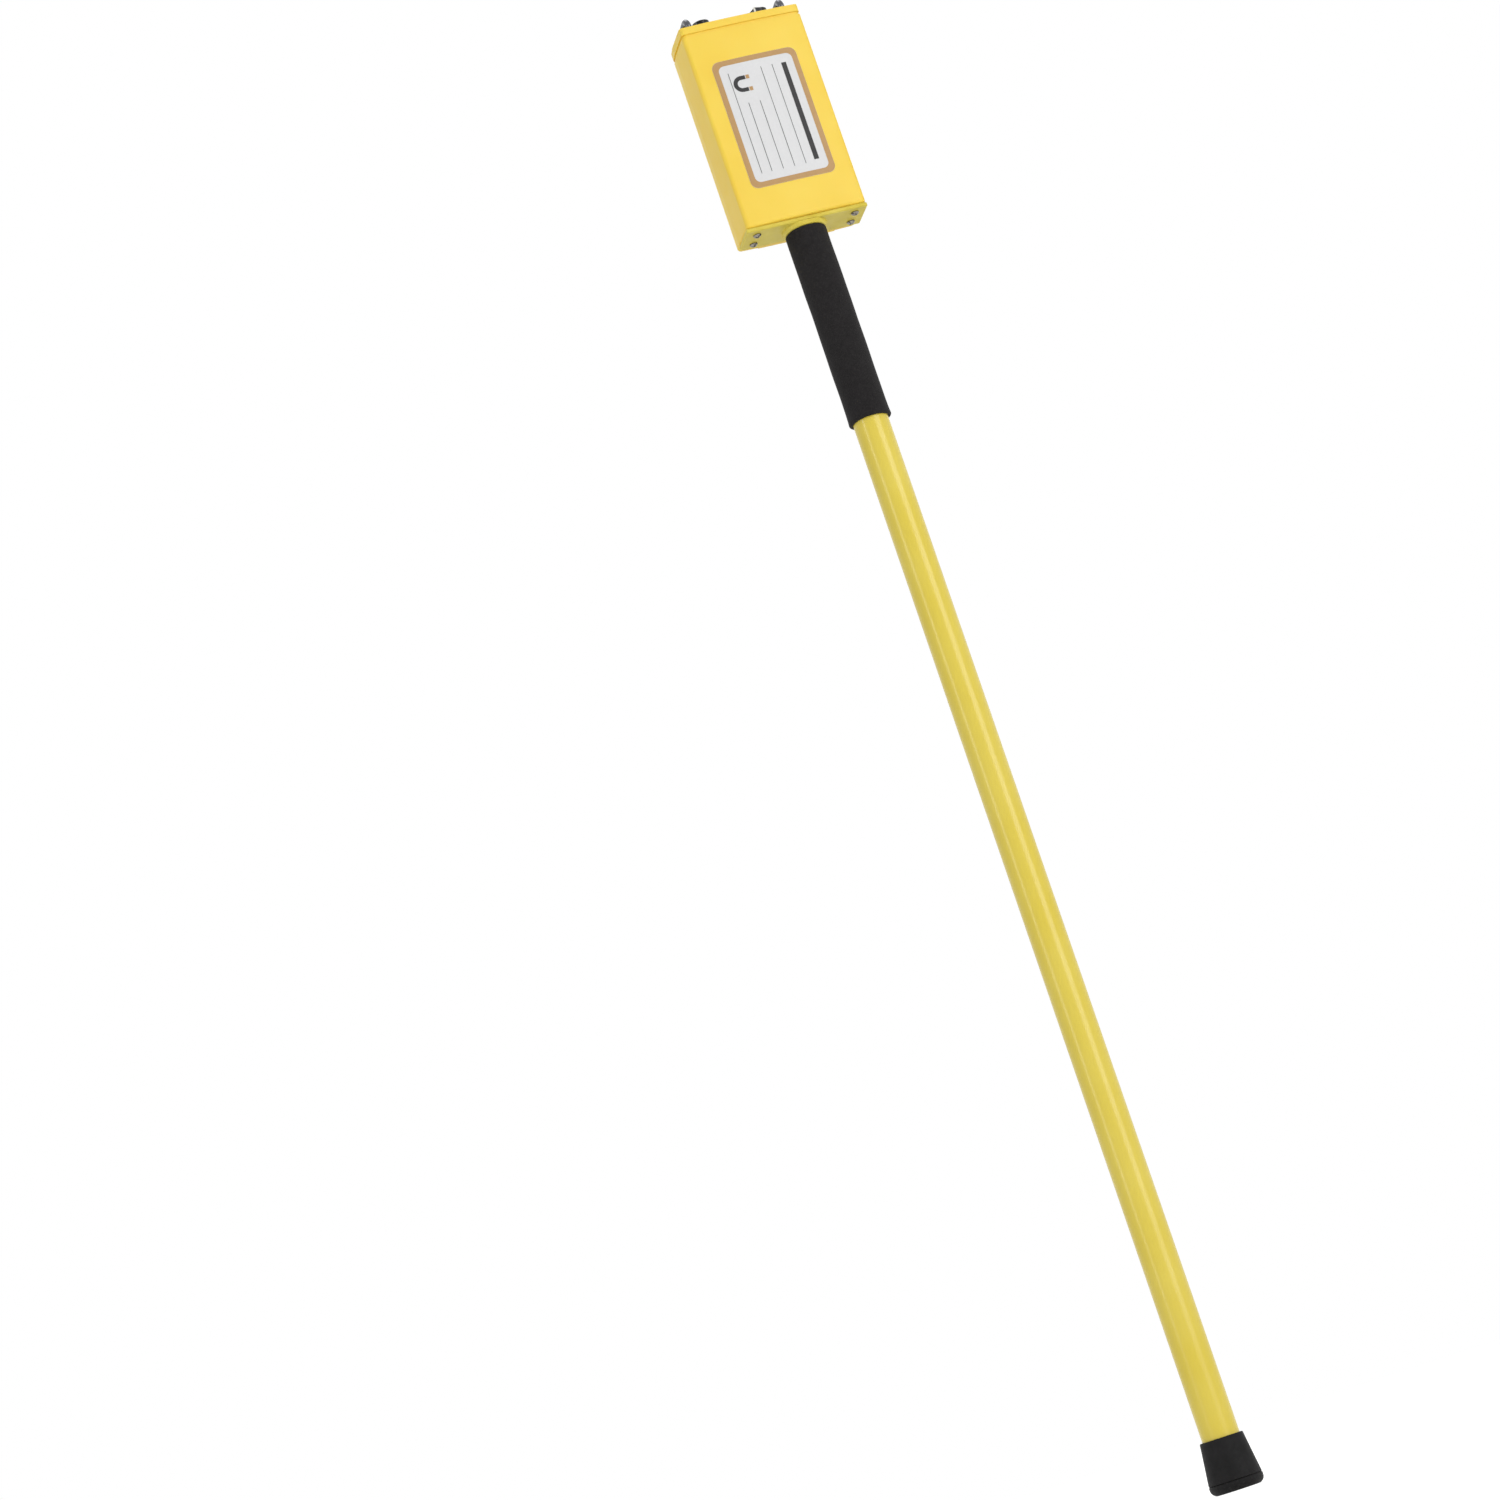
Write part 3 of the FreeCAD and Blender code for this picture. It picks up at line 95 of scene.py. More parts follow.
def turned(profile, around, x=0.0, y=0.0, z=0.0):
    """Points of a turned shape: each (radius, height) of the profile is carried round a circle,
    (x + r cos a, y + r sin a, z + h). A profile that goes out, up and back in faces outwards."""
    profile = np.asarray(profile, float)
    angle = np.linspace(0, 2 * np.pi, around, endpoint=False)
    radius, height = profile[:, :1], profile[:, 1:]
    return np.stack([x + radius * np.cos(angle), y + radius * np.sin(angle),
                     z + height + 0 * angle], axis=2)


def quarter(middle_r, middle_h, radius, start, end, steps):
    """Profile points on an arc, its angles in degrees from the outward direction."""
    angle = np.radians(np.linspace(start, end, steps + 1))
    return list(zip(middle_r + radius * np.cos(angle), middle_h + radius * np.sin(angle)))


def linear(code):
    """A colour from an sRGB hex code, as linear red, green, blue and alpha."""
    parts = [int(code[i:i + 2], 16) / 255 for i in (1, 3, 5)]
    return [c / 12.92 if c <= 0.04045 else ((c + 0.055) / 1.055) ** 2.4 for c in parts] + [1.0]


def add(tree, kind, inputs=None, **settings):
    """Adds a shader node with its settings; each input gets a value or a link from a socket."""
    made = tree.nodes.new(kind)
    for name, value in settings.items():
        setattr(made, name, value)
    for name, value in (inputs or {}).items():
        if isinstance(value, bpy.types.NodeSocket):
            tree.links.new(value, made.inputs[name])
        else:
            made.inputs[name].default_value = value
    return made


def new_material(name):
    """An empty material: itself, its node tree, and its Object coordinates in metres."""
    material = bpy.data.materials.new(name)
    material.use_nodes = True
    tree = material.node_tree
    tree.nodes.clear()
    return material, tree, add(tree, "ShaderNodeTexCoord").outputs["Object"]


def finish_with(tree, shader):
    """Joins the last shader to the material's output."""
    add(tree, "ShaderNodeOutputMaterial", {"Surface": shader.outputs[0]})


def blend_colours(tree, amount, first, second):
    """Two colours mixed by a factor between 0 and 1."""
    mix = add(tree, "ShaderNodeMix", {0: amount, 6: first, 7: second}, data_type="RGBA")
    return mix.outputs[2]


def spread(tree, value, low, high, start, end):
    """A value's range from low to high, laid on the range from start to end."""
    lay = add(tree, "ShaderNodeMapRange", {0: value, 1: low, 2: high, 3: start, 4: end})
    return lay.outputs[0]


def noise(tree, place, size_mm, detail=2.0, roughness=0.5):
    """Soft noise whose blotches are about the given size."""
    made = add(tree, "ShaderNodeTexNoise",
               {"Vector": place, "Scale": 1000 / size_mm, "Detail": detail, "Roughness": roughness})
    return made.outputs["Fac"]


def relief(tree, height, depth_mm, strength=1.0):
    """A bump whose full height is the given depth."""
    made = add(tree, "ShaderNodeBump",
               {"Height": height, "Strength": strength, "Distance": depth_mm / 1000})
    return made.outputs[0]


def dress(thing, material):
    """Gives a node of the frame, by its name, or a new piece its material."""
    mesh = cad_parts[thing].data if isinstance(thing, str) else thing.data
    mesh.materials.clear()
    mesh.materials.append(material)


foot_radius, neck_radius, tread_edge, tip_height = 18.2, 14.6, 4.5, 34.5
plate_line, lip, bore_radius, bore_floor = 6.6, 0.7, 12.75, 6.0
tip_profile = [(0, 0)]
tip_profile += quarter(foot_radius - tread_edge, tread_edge, tread_edge, -90, 0, 12)
tip_profile += [(foot_radius, plate_line - 0.4), (foot_radius - 0.6, plate_line),
                (foot_radius - 0.15, plate_line + 0.4), (neck_radius + 0.06, tip_height - lip)]
tip_profile += quarter(neck_radius - lip, tip_height - lip, lip, 20, 90, 5)
tip_profile += [(bore_radius, tip_height), (bore_radius, bore_floor), (0, bore_floor)]
rubber_foot = surface("rubber_foot", [turned(tip_profile, 144)], "locator", crease=50)
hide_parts("rubber_tip")

# Nitrile rubber: nearly black, dull, with a soft bloom, and scuffed grey where the edge meets the ground
rubber, tree, place = new_material("black_nitrile_rubber")
height_above = add(tree, "ShaderNodeSeparateXYZ", {0: place}).outputs["Z"]
near_ground = spread(tree, height_above, 0.0, 0.012, 1.0, 0.0)
scuff = spread(tree, noise(tree, place, 1.4, 5, 0.7), 0.52, 0.72, 0, 1)
scuffed = add(tree, "ShaderNodeMath", {0: near_ground, 1: scuff}, operation="MULTIPLY").outputs[0]
bloom = blend_colours(tree, spread(tree, noise(tree, place, 14, 3), 0.35, 0.7, 0, 1),
                      linear("#101010"), linear("#181718"))
colour = blend_colours(tree, scuffed, bloom, linear("#3A3837"))
finish_with(tree, add(tree, "ShaderNodeBsdfPrincipled", {
    "Base Color": colour, "Roughness": spread(tree, noise(tree, place, 3, 4), 0.3, 0.7, 0.55, 0.68),
    "IOR": 1.52, "Specular IOR Level": 0.15, "Normal": relief(tree, noise(tree, place, 0.9, 4, 0.6), 0.04)}))
dress(rubber_foot, rubber)

# Painted tube. Drawn aluminium tube, 25.4 mm across, under a sprayed and baked yellow enamel
# that keeps a faint orange peel and, here and there, a slightly thinner coat.


def enamel(name, base, thin, peel_mm):
    """Sprayed enamel: a faint orange peel, and a little paler where the coat is thin."""
    material, tree, place = new_material(name)
    coat = spread(tree, noise(tree, place, 60, 3), 0.35, 0.7, 0, 1)
    colour = blend_colours(tree, coat, linear(base), linear(thin))
    gloss = spread(tree, noise(tree, place, 9, 3), 0.3, 0.7, 0.19, 0.27)
    finish_with(tree, add(tree, "ShaderNodeBsdfPrincipled", {
        "Base Color": colour, "Roughness": gloss, "IOR": 1.5,
        "Normal": relief(tree, noise(tree, place, peel_mm, 1), 0.02)}))
    return material


dress("pole_tube", enamel("baked_yellow_enamel", "#DFC843", "#E3CE53", 1.8))

# Weld. A hand-laid bead round the tube under the plate: coin-like ripples that differ a little in
# reach, ground flush where they would pass the plate's front and back edges, then painted over.
bead_foot, bead_top, bead_out, bead_neck = 908.8, 911.8, 16.9, 15.0
tube_skin, plate_reach = 12.75, 15.2
coins, coin_depth, coin_rise = 26, 0.42, 0.25


def weld_bead(rows, around):
    """Points of the bead's skin, rows from the tube over the belly to the plate and back.

    The belly is a quarter ellipse between neck and reach. Each coin adds |sin(n a / 2)| of its
    ripple, and three slow waves round the tube shift its reach. Depth is cut at the plate's edge."""
    angle = np.linspace(0, 2 * np.pi, around, endpoint=False)
    rise = np.linspace(0, 1, rows)[:, None]
    ripple = np.abs(np.sin(coins * angle / 2 + 0.6 * np.sin(3 * angle)))
    drift = 0.22 * np.sin(2 * angle + 0.7) + 0.16 * np.sin(5 * angle + 2.1) + 0.10 * np.sin(11 * angle)
    belly = bead_neck + (bead_out - bead_neck - 0.25 + drift) * np.sin(rise * np.pi / 2) ** 0.8
    radius = belly + coin_depth * (ripple - 0.5) * np.sin(rise * np.pi) ** 0.5
    radius = np.minimum(radius, bead_out)
    height = bead_foot + (bead_top - bead_foot) * rise + coin_rise * ripple * np.sin(rise * np.pi)
    skin = np.stack([radius * np.cos(angle), radius * np.sin(angle), height + 0 * angle], axis=2)
    bore = turned([(tube_skin, bead_top), (tube_skin, bead_foot)], around)
    ring = np.concatenate([skin, bore])
    ring[..., 1] = np.clip(ring[..., 1], -plate_reach, plate_reach)
    return ring


weld = surface("weld_bead", [weld_bead(14, 416)], "locator", crease=60, close_rows=True)
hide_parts("weld_collar")

# End plate. Sheet steel, 3 mm, sheared, drilled and welded to the tube, in the tube's enamel,
# here a darker copy as painted shade, with a painted highlight that makes the sharp edges paler.


def plate_paint(name, base, thin):
    """The tube's enamel on sheet steel: heavier peel, pale blotches of thin coat, and a painted highlight
    that makes the edges paler.
    """
    material, tree, place = new_material(name)
    # painted highlight: at the sharp edges, where the bevelled normal turns away from the face's own, the
    # colour goes towards the pale one
    edge = add(tree, "ShaderNodeBevel", {"Radius": 0.0006}, samples=4)
    face = add(tree, "ShaderNodeNewGeometry").outputs["Normal"]
    bend = add(tree, "ShaderNodeVectorMath", {0: edge.outputs[0], 1: face}, operation="DOT_PRODUCT")
    painted_edge_highlight = spread(tree, bend.outputs["Value"], 0.99, 0.9, 0, 0.6)
    coat = spread(tree, noise(tree, place, 25, 3), 0.35, 0.7, 0, 0.5)
    edge_highlight_and_thin_coat = add(tree, "ShaderNodeMath", {0: painted_edge_highlight, 1: coat}, operation="MAXIMUM").outputs[0]
    colour = blend_colours(tree, edge_highlight_and_thin_coat, linear(base), linear(thin))
    gloss = spread(tree, noise(tree, place, 6, 3), 0.3, 0.7, 0.4, 0.5)
    finish_with(tree, add(tree, "ShaderNodeBsdfPrincipled", {
        "Base Color": colour, "Roughness": gloss, "IOR": 1.5, "Specular IOR Level": 0.25,
        "Normal": relief(tree, noise(tree, place, 1.3, 1), 0.03)}))
    return material


# the base is a darker copy of the tube's enamel, painted shade for the plate's underside; the pale colour
# serves both thin coat and painted edge highlight
sprayed_plate = plate_paint("sprayed_plate_enamel", "#CDB834", "#F0E070")
dress("end_plate", sprayed_plate)
dress(weld, sprayed_plate)

# Foam grip. A sleeve cut from extruded EVA foam and stretched over the tube. It bulges where its
# lower end was cut and pressed, and its outside is never quite true.
grip_foot, grip_head, grip_out, grip_flare, grip_edge = 761.75, 908.75, 15.0, 0.5, 1.6


def foam_sleeve(rows, around):
    """Points of the sleeve's skin: up the outside, over the top, down the bore and shut.

    Radius = grip + flare e^(-h / 4 mm) + four slow waves of a tenth of a millimetre, and the
    ends are rounded by quarter circles."""
    low, high = np.linspace(0, np.pi / 2, 7)[:-1, None], np.linspace(0, np.pi / 2, 7)[1:, None]
    angle = np.linspace(0, 2 * np.pi, around, endpoint=False)
    side = np.linspace(grip_foot + grip_edge, grip_head - grip_edge, rows)[:, None]
    height = np.vstack([grip_foot + grip_edge * (1 - np.cos(low)), side,
                        grip_head - grip_edge * (1 - np.sin(high))])
    inset = np.vstack([grip_edge * (1 - np.sin(low)), 0 * side, grip_edge * (1 - np.cos(high))])
    flare = grip_flare * np.exp(-(height - grip_foot) / 4)
    wave = (0.06 * np.sin(height / 9 + 2 * angle) + 0.05 * np.sin(height / 17 - 3 * angle + 1)
            + 0.04 * np.sin(height / 5 + angle + 2) + 0.03 * np.sin(height / 29 + 5 * angle))
    radius = grip_out + flare - inset + wave
    skin = np.stack([radius * np.cos(angle), radius * np.sin(angle), height + 0 * angle], axis=2)
    bore = turned([(tube_skin, grip_head), (tube_skin, grip_foot)], around)
    return np.concatenate([skin, bore])


grip = surface("foam_sleeve", [foam_sleeve(160, 128)], "locator", crease=60, close_rows=True)
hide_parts("foam_grip")

# EVA foam: closed cells 0.2 to 0.5 mm wide cut open by the extruder's skin, drawn at 0.8 mm so
# that they show, and faint grey handling marks. It scatters light, so it has a soft sheen.
foam, tree, place = new_material("black_eva_foam")
cells = add(tree, "ShaderNodeTexVoronoi", {"Vector": place, "Scale": 1000 / 0.8})
pits = spread(tree, cells.outputs["Distance"], 0.0, 0.6, 0, 1)
marks = spread(tree, noise(tree, place, 7, 4, 0.6), 0.4, 0.75, 0, 1)
tone = blend_colours(tree, marks, linear("#191718"), linear("#211F20"))
cut_cells = spread(tree, noise(tree, place, 1.3, 2), 0.45, 0.8, 0, 0.5)
colour = blend_colours(tree, cut_cells, tone, linear("#2E2C2B"))
finish_with(tree, add(tree, "ShaderNodeBsdfPrincipled", {
    "Base Color": colour, "Roughness": 0.88, "IOR": 1.5, "Specular IOR Level": 0.2, "Sheen Weight": 0.03,
    "Sheen Roughness": 0.6,
    "Normal": relief(tree, pits, 0.10, 0.8)}))
dress(grip, foam)

# Screws. Pan-head machine screws with a cross recess, cold headed and rolled, in bright zinc:
# four under the plate, four long ones in the back, and the small ones inside.


def pan_screw(spot, out, head, rise, shank, length, turn):
    """Points of one screw, whose head stands out of a spot along a direction.

    Head: a short wall, then a dome rise (1 - (r / head)^2.6). The cross recess is two slots
    crossed at right angles, its depth falling off with the distance from the nearer slot and
    from the middle. Thread: r = shank - depth times a triangle wave of (h / pitch + a / 2 pi)."""
    around = 48
    slot_half, slot_slope, slot_reach, slot_end, slot_depth = 0.2, 0.07, 0.62, 0.3, 0.75
    thread_depth, fine_pitch, coarse_pitch, fine_below = 0.18, 0.5, 0.7, 1.4
    angle = np.linspace(0, 2 * np.pi, around, endpoint=False)
    pitch = fine_pitch if shank < fine_below else coarse_pitch
    down = np.linspace(-length, 0, int(length / pitch * 4))[:, None]
    phase = (down / pitch + angle / (2 * np.pi)) % 1
    point = np.clip((down + length) / (2 * shank), 0.25, 1)
    radius = (shank - thread_depth * np.abs(2 * phase - 1)) * point
    rod = np.stack([radius * np.cos(angle), radius * np.sin(angle), down + 0 * angle], axis=2)
    wall = turned([(shank, 0), (head - 0.15, 0), (head, 0.15), (head, rise * 0.3)], around)
    reach = head * np.linspace(0.97, 0, 26)[:, None]
    lift = rise * (0.3 + 0.7 * (1 - (reach / head) ** 2.6))
    across = reach * np.cos(angle + turn)
    along = reach * np.sin(angle + turn)
    slot = np.minimum(np.abs(across), np.abs(along))
    far = np.maximum(np.abs(across), np.abs(along))
    near_line = np.clip((slot_half * head - slot) / (slot_slope * head), 0, 1)
    near_middle = np.clip((slot_reach * head - far) / (slot_end * head), 0, 1)
    lift = lift - slot_depth * rise * near_line * near_middle
    dome = np.stack([reach * np.cos(angle), reach * np.sin(angle), lift + 0 * angle], axis=2)
    tail = turned([(0, -length)], around)
    points = np.concatenate([tail, rod, wall, dome])
    out = Vector(out)
    side = out.orthogonal().normalized()
    axes = np.array([side, out.cross(side), out])
    return points @ axes + np.array(spot)


def screw_set(name, node, body, spots, out, head, rise, shank, length, first_turn):
    """Like screws in one piece, each turned on by its own angle, as a driver leaves them."""
    turns = [first_turn + 1.9 * number for number in range(len(spots))]
    grids = [pan_screw(spot, out, head, rise, shank, length, turn) for spot, turn in zip(spots, turns)]
    piece = surface(name, grids, body, crease=35)
    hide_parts(node)
    return piece


def bright_metal(name, base, dull, rough, scratch_mm):
    """Plated or polished metal: fine scratches, and a duller tone in soft blotches."""
    material, tree, place = new_material(name)
    film = spread(tree, noise(tree, place, 2.5, 4, 0.6), 0.35, 0.7, 0, 1)
    colour = blend_colours(tree, film, linear(base), linear(dull))
    gloss = spread(tree, noise(tree, place, 1.2, 4, 0.7), 0.3, 0.7, rough, rough + 0.1)
    finish_with(tree, add(tree, "ShaderNodeBsdfPrincipled", {
        "Base Color": colour, "Metallic": 1.0, "Roughness": gloss,
        "Normal": relief(tree, noise(tree, place, scratch_mm, 3, 0.6), 0.006)}))
    return material


# Zinc plate gone dull: a grey a little warmer than the steel below, and darker in soft blotches
bright_zinc = bright_metal("bright_zinc_plate", "#97938B", "#6E6961", 0.24, 0.4)
plate_screw_spots = [(x, y, 911.8) for x in (36.7, -36.7) for y in (7.6, -7.6)]
plate_screws = screw_set("plate_screws", "end_plate_screws", "locator", plate_screw_spots,
                         (0, 0, -1), 2.9, 2.2, 1.6, 10.0, 0.35)
dress(plate_screws, bright_zinc)
shell_screw_spots = [(x, 18.8, z) for x in (38.2, -38.2) for z in (935.0, 1038.0)]
back_screws = screw_set("back_screws", "shell_screws", "locator", shell_screw_spots,
                        (0, 1, 0), 2.75, 2.2, 1.5, 20.0, 0.9)
dress(back_screws, bright_zinc)

# Head shells. Two halves of a deep box moulded in yellow ABS and drawn together by the long
# screws. The mould was spark-eroded, so the faces are satin, and its walls bow very slightly.


def moulded_abs(name, base, deep):
    """Moulded ABS: spark-erosion grain 0.7 mm wide, a slow sink of the walls, and a colour a touch
    deeper in blotches, with a little light let into the plastic."""
    material, tree, place = new_material(name)
    drift = spread(tree, noise(tree, place, 45, 2), 0.3, 0.7, 0, 1)
    colour = blend_colours(tree, drift, linear(base), linear(deep))
    grain = relief(tree, noise(tree, place, 0.7, 3, 0.6), 0.02)
    sink = add(tree, "ShaderNodeBump", {"Height": noise(tree, place, 38, 1), "Strength": 1.0,
                                        "Distance": 0.0002, "Normal": grain})
    gloss = spread(tree, noise(tree, place, 6, 3), 0.3, 0.7, 0.38, 0.46)
    finish_with(tree, add(tree, "ShaderNodeBsdfPrincipled", {
        "Base Color": colour, "Roughness": gloss, "IOR": 1.53, "Specular IOR Level": 0.3,
        "Subsurface Weight": 0.05, "Subsurface Scale": 0.002, "Normal": sink.outputs[0]}))
    return material


yellow_abs = moulded_abs("yellow_moulded_abs", "#F5D450", "#F2CE45")
dress("front_shell", yellow_abs)
dress("back_shell", yellow_abs)

# Battery door. The same ABS, slid up in two grooves. Its face has ribs for a thumb, and a raised
# arrow that points the way it slides, moulded with it.
dress("battery_door", yellow_abs)
rib_middle, rib_pitch, rib_half_length, rib_radius, door_face = 946.0, 3.2, 11.0, 0.8, 26.8
rib_heights = rib_middle + rib_pitch * (np.arange(6) - 2.5)


def thumb_rib(height):
    """Points of one rib: a half round laid along X, its ends drawn in over quarter circles."""
    t = np.linspace(-1, 1, 41)[:, None]
    x = rib_half_length * np.sin(t * np.pi / 2)
    thick = np.sqrt(np.clip(1 - ((np.abs(x) - rib_half_length + rib_radius).clip(0) / rib_radius) ** 2, 0, 1))
    angle = np.linspace(0, 2 * np.pi, 20, endpoint=False)
    y = door_face - 0.25 + 0.9 * rib_radius * thick * np.cos(angle)
    z = height + rib_radius * thick * np.sin(angle)
    return np.stack([x + 0 * angle, y, z], axis=2)


def raised_arrow(wide, tall, tip, proud):
    """Points of a solid arrowhead on the door: its outline drawn at the face and, a bevel further
    in, at its full height, then shut at the middle."""
    outline = np.array([(0, tip), (-wide, tip + tall), (0, tip + tall * 0.72), (wide, tip + tall)])
    middle = np.array([0, tip + tall * 0.6])
    rows = [(middle + (outline - middle) * part, lift)
            for part, lift in ((0.0, -0.4), (1.0, -0.4), (1.0, proud * 0.5), (0.92, proud), (0.0, proud))]
    return np.stack([np.stack([line[:, 0], door_face + lift + 0 * line[:, 0], line[:, 1]], axis=1)
                     for line, lift in rows])


arrow_wide, arrow_tall, arrow_tip, arrow_proud = 5.0, 7.0, 925.0, 0.45
door_grip = surface("door_ribs", [thumb_rib(height) for height in rib_heights]
                    + [raised_arrow(arrow_wide, arrow_tall, arrow_tip, arrow_proud)], "door", crease=50)
dress(door_grip, yellow_abs)

# Label. White polyester film with a tan border, printed and stuck on the front face, whose slow
# crown it follows. It carries a heading bar, lines to write on, and a horseshoe magnet.
label_half_x, label_low, label_high, label_corner = 31.5, 941.75, 1041.25, 5.5
label_front, crown_radius = 17.45, 740.35
border = 4.0


def on_label(flat, lift=0.03):
    """Flat points (x, z) laid on the crowned face: y = -front - lift + R - sqrt(R^2 - x^2)."""
    x, z = flat[..., 0], flat[..., 1]
    y = crown_radius - np.sqrt(crown_radius ** 2 - x ** 2) - label_front - lift
    return np.stack([x, y, z], axis=-1)


def corner_loop(half_x, low, high, corner, steps=12, between=20):
    """Points (x, z) round a rounded rectangle, clockwise as the reader sees it: a quarter circle at
    each corner, and steps along each straight side so that it can follow the crown."""
    turn = np.linspace(0, np.pi / 2, steps + 1)
    arcs = []
    for number, (x, z) in enumerate(((half_x - corner, high - corner), (half_x - corner, low + corner),
                                     (corner - half_x, low + corner), (corner - half_x, high - corner))):
        angle = np.pi / 2 * (1 - number) - turn
        arcs.append(np.stack([x + corner * np.cos(angle), z + corner * np.sin(angle)], axis=1))
    loop = []
    for arc, following in zip(arcs, arcs[1:] + arcs[:1]):
        along = np.linspace(0, 1, between + 2)[1:-1, None]
        loop += [arc, arc[-1] + (following[0] - arc[-1]) * along]
    return np.concatenate(loop)


def film(name, base, mark, roughness):
    """Printed film: a satin coat, a trace of ink mottle, and dust in fine specks."""
    material, tree, place = new_material(name)
    mottle = spread(tree, noise(tree, place, 2.2, 4, 0.6), 0.4, 0.75, 0, 0.6)
    finish_with(tree, add(tree, "ShaderNodeBsdfPrincipled", {
        "Base Color": blend_colours(tree, mottle, linear(base), linear(mark)),
        "Roughness": spread(tree, noise(tree, place, 5, 3), 0.3, 0.7, roughness, roughness + 0.08),
        "IOR": 1.57, "Specular IOR Level": 0.35,
        "Normal": relief(tree, noise(tree, place, 0.6, 2), 0.006)}))
    return material


dress("front_label", film("white_label_film", "#DADADB", "#D4D4D6", 0.38))
rim_steps = np.linspace(0, border, 7)
edge_gap, corner_shrink = 0.05, 0.3
rim_rows = [on_label(corner_loop(label_half_x - edge_gap - step, label_low + edge_gap + step,
                                 label_high - edge_gap - step, label_corner - corner_shrink * step))
            for step in rim_steps]
rim_print = surface("label_border", [np.stack(rim_rows[::-1])], "locator")
dress(rim_print, film("tan_border_ink", "#B68E58", "#AD844D", 0.4))

charcoal_ink = film("charcoal_ink", "#1B1A1C", "#232224", 0.5)


def bar(x0, x1, z0, z1):
    """Points of a printed bar on the label, in steps of a few millimetres so that it follows the crown."""
    x, z = np.linspace(x0, x1, max(2, int((x1 - x0) / 3) + 2)), np.array([z0, z1])
    return on_label(np.stack(np.meshgrid(x, z), axis=-1), 0.05)


rule_half, line_low = 0.2, 952.0
line_ends = ((11.5, 1031.0), (3.0, 1031.0), (-5.5, 1006.0), (-14.0, 1006.0), (-21.5, 1031.0))
lines = [bar(x - rule_half, x + rule_half, line_low, high) for x, high in line_ends]
heading = [bar(18.3, 21.9, 953.5, 1030.5)]
writing = surface("label_lines", lines + heading, "locator", close_columns=False)
dress(writing, charcoal_ink)

# the magnet: a half ring with two straight legs that point right, and tan pole pieces at their ends
magnet_x, magnet_z, magnet_out, magnet_in, leg_end, pole_end = -14.0, 1021.0, 6.2, 3.2, 3.6, 6.6
turn = np.linspace(np.pi / 2, 3 * np.pi / 2, 33)
edges = []
for radius in (magnet_out, magnet_in):
    ring = np.stack([magnet_x + radius * np.cos(turn), magnet_z + radius * np.sin(turn)], axis=1)
    upper, lower = [(magnet_x + leg_end, magnet_z + radius)], [(magnet_x + leg_end, magnet_z - radius)]
    edges.append(np.concatenate([upper, ring, lower]))
magnet = surface("label_magnet", [on_label(np.stack(edges), 0.05)], "locator", close_columns=False)
dress(magnet, charcoal_ink)
pole_start, pole_stop = magnet_x + leg_end + 0.5, magnet_x + pole_end
poles = surface("label_poles", [bar(pole_start, pole_stop, magnet_z + low, magnet_z + high)
                                for low, high in ((magnet_in, magnet_out), (-magnet_out, -magnet_in))],
                "locator", close_columns=False)
dress(poles, film("tan_pole_ink", "#B68E58", "#AD844D", 0.4))

# Control panel. Aluminium sheet brushed along its length and clear anodised, held up under the
# ledge of the funnel. The brush leaves long hair lines, so its gloss is stretched across them.


def brushed_aluminium(name, base, dull, hair_mm):
    """Brushed aluminium: hair lines along X, drawn coarser than the real grit so that they show."""
    material, tree, place = new_material(name)
    along = add(tree, "ShaderNodeMapping", {"Vector": place, "Scale": (0.02, 1.0, 1.0)})
    hair = noise(tree, along.outputs[0], hair_mm, 4, 0.7)
    colour = blend_colours(tree, spread(tree, hair, 0.3, 0.7, 0, 1), linear(base), linear(dull))
    finish_with(tree, add(tree, "ShaderNodeBsdfPrincipled", {
        "Base Color": colour, "Metallic": 1.0, "Roughness": spread(tree, hair, 0.3, 0.7, 0.26, 0.42),
        "Normal": relief(tree, hair, 0.012)}))
    return material


dress("control_panel", brushed_aluminium("brushed_aluminium_sheet", "#C9C9CB", "#9C9C9F", 0.35))

# Overlay. Polyester film in the olive yellow of the panel, printed in black: numbers round one
# knob, dots and OFF round the other, a battery by the lamp, a wedge and a speaker under the knobs.
# It reads from behind the head, so its letters stand upright towards the labelled face.
dress("panel_overlay", film("olive_yellow_film", "#CFCA50", "#C8C349", 0.36))
print_level, dial_reach, dial_y = 1063.27, 10.8, 5.3
sensitivity_x, volume_x = 21.9, -21.9
lamp_x, lamp_y = 4.4, 2.2


def toward(angle):
    """The direction on the panel at an angle from the reader's right, anticlockwise."""
    return np.array([-math.cos(math.radians(angle)), -math.sin(math.radians(angle))])


def printed(name, words, cap_height):
    """Black printed letters as one flat mesh.

    Each entry is (letters, x, y): the letters are drawn, made a mesh, scaled so that their capitals
    have the height, turned to face the reader and set with their middle on the spot."""
    points, faces, start = [], [], 0
    for letters, x, y in words:
        text = bpy.data.curves.new(name, "FONT")
        text.body = letters
        text.resolution_u = 6
        holder = bpy.data.objects.new(name, text)
        mesh = bpy.data.meshes.new_from_object(holder)
        flat = np.empty(len(mesh.vertices) * 3)
        mesh.vertices.foreach_get("co", flat)
        flat = flat.reshape(-1, 3)[:, :2]
        low, high = flat.min(axis=0), flat.max(axis=0)
        flat = (flat - (low + high) / 2) * cap_height / (high[1] - low[1])
        level = np.full(len(flat), print_level)
        points.append(np.column_stack([x - flat[:, 0], y - flat[:, 1], level]) / 1000)
        faces += [[start + v for v in polygon.vertices] for polygon in mesh.polygons]
        start += len(flat)
        bpy.data.objects.remove(holder)
        bpy.data.meshes.remove(mesh)
        bpy.data.curves.remove(text)
    mesh = bpy.data.meshes.new(name)
    mesh.from_pydata(np.vstack(points).tolist(), [], faces)
    piece = bpy.data.objects.new(name, mesh)
    bpy.context.scene.collection.objects.link(piece)
    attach(piece, "locator")
    return piece


def dial_spot(knob_x, angle, reach=dial_reach):
    """The place at an angle round a knob."""
    return np.array([knob_x, dial_y]) + reach * toward(angle)


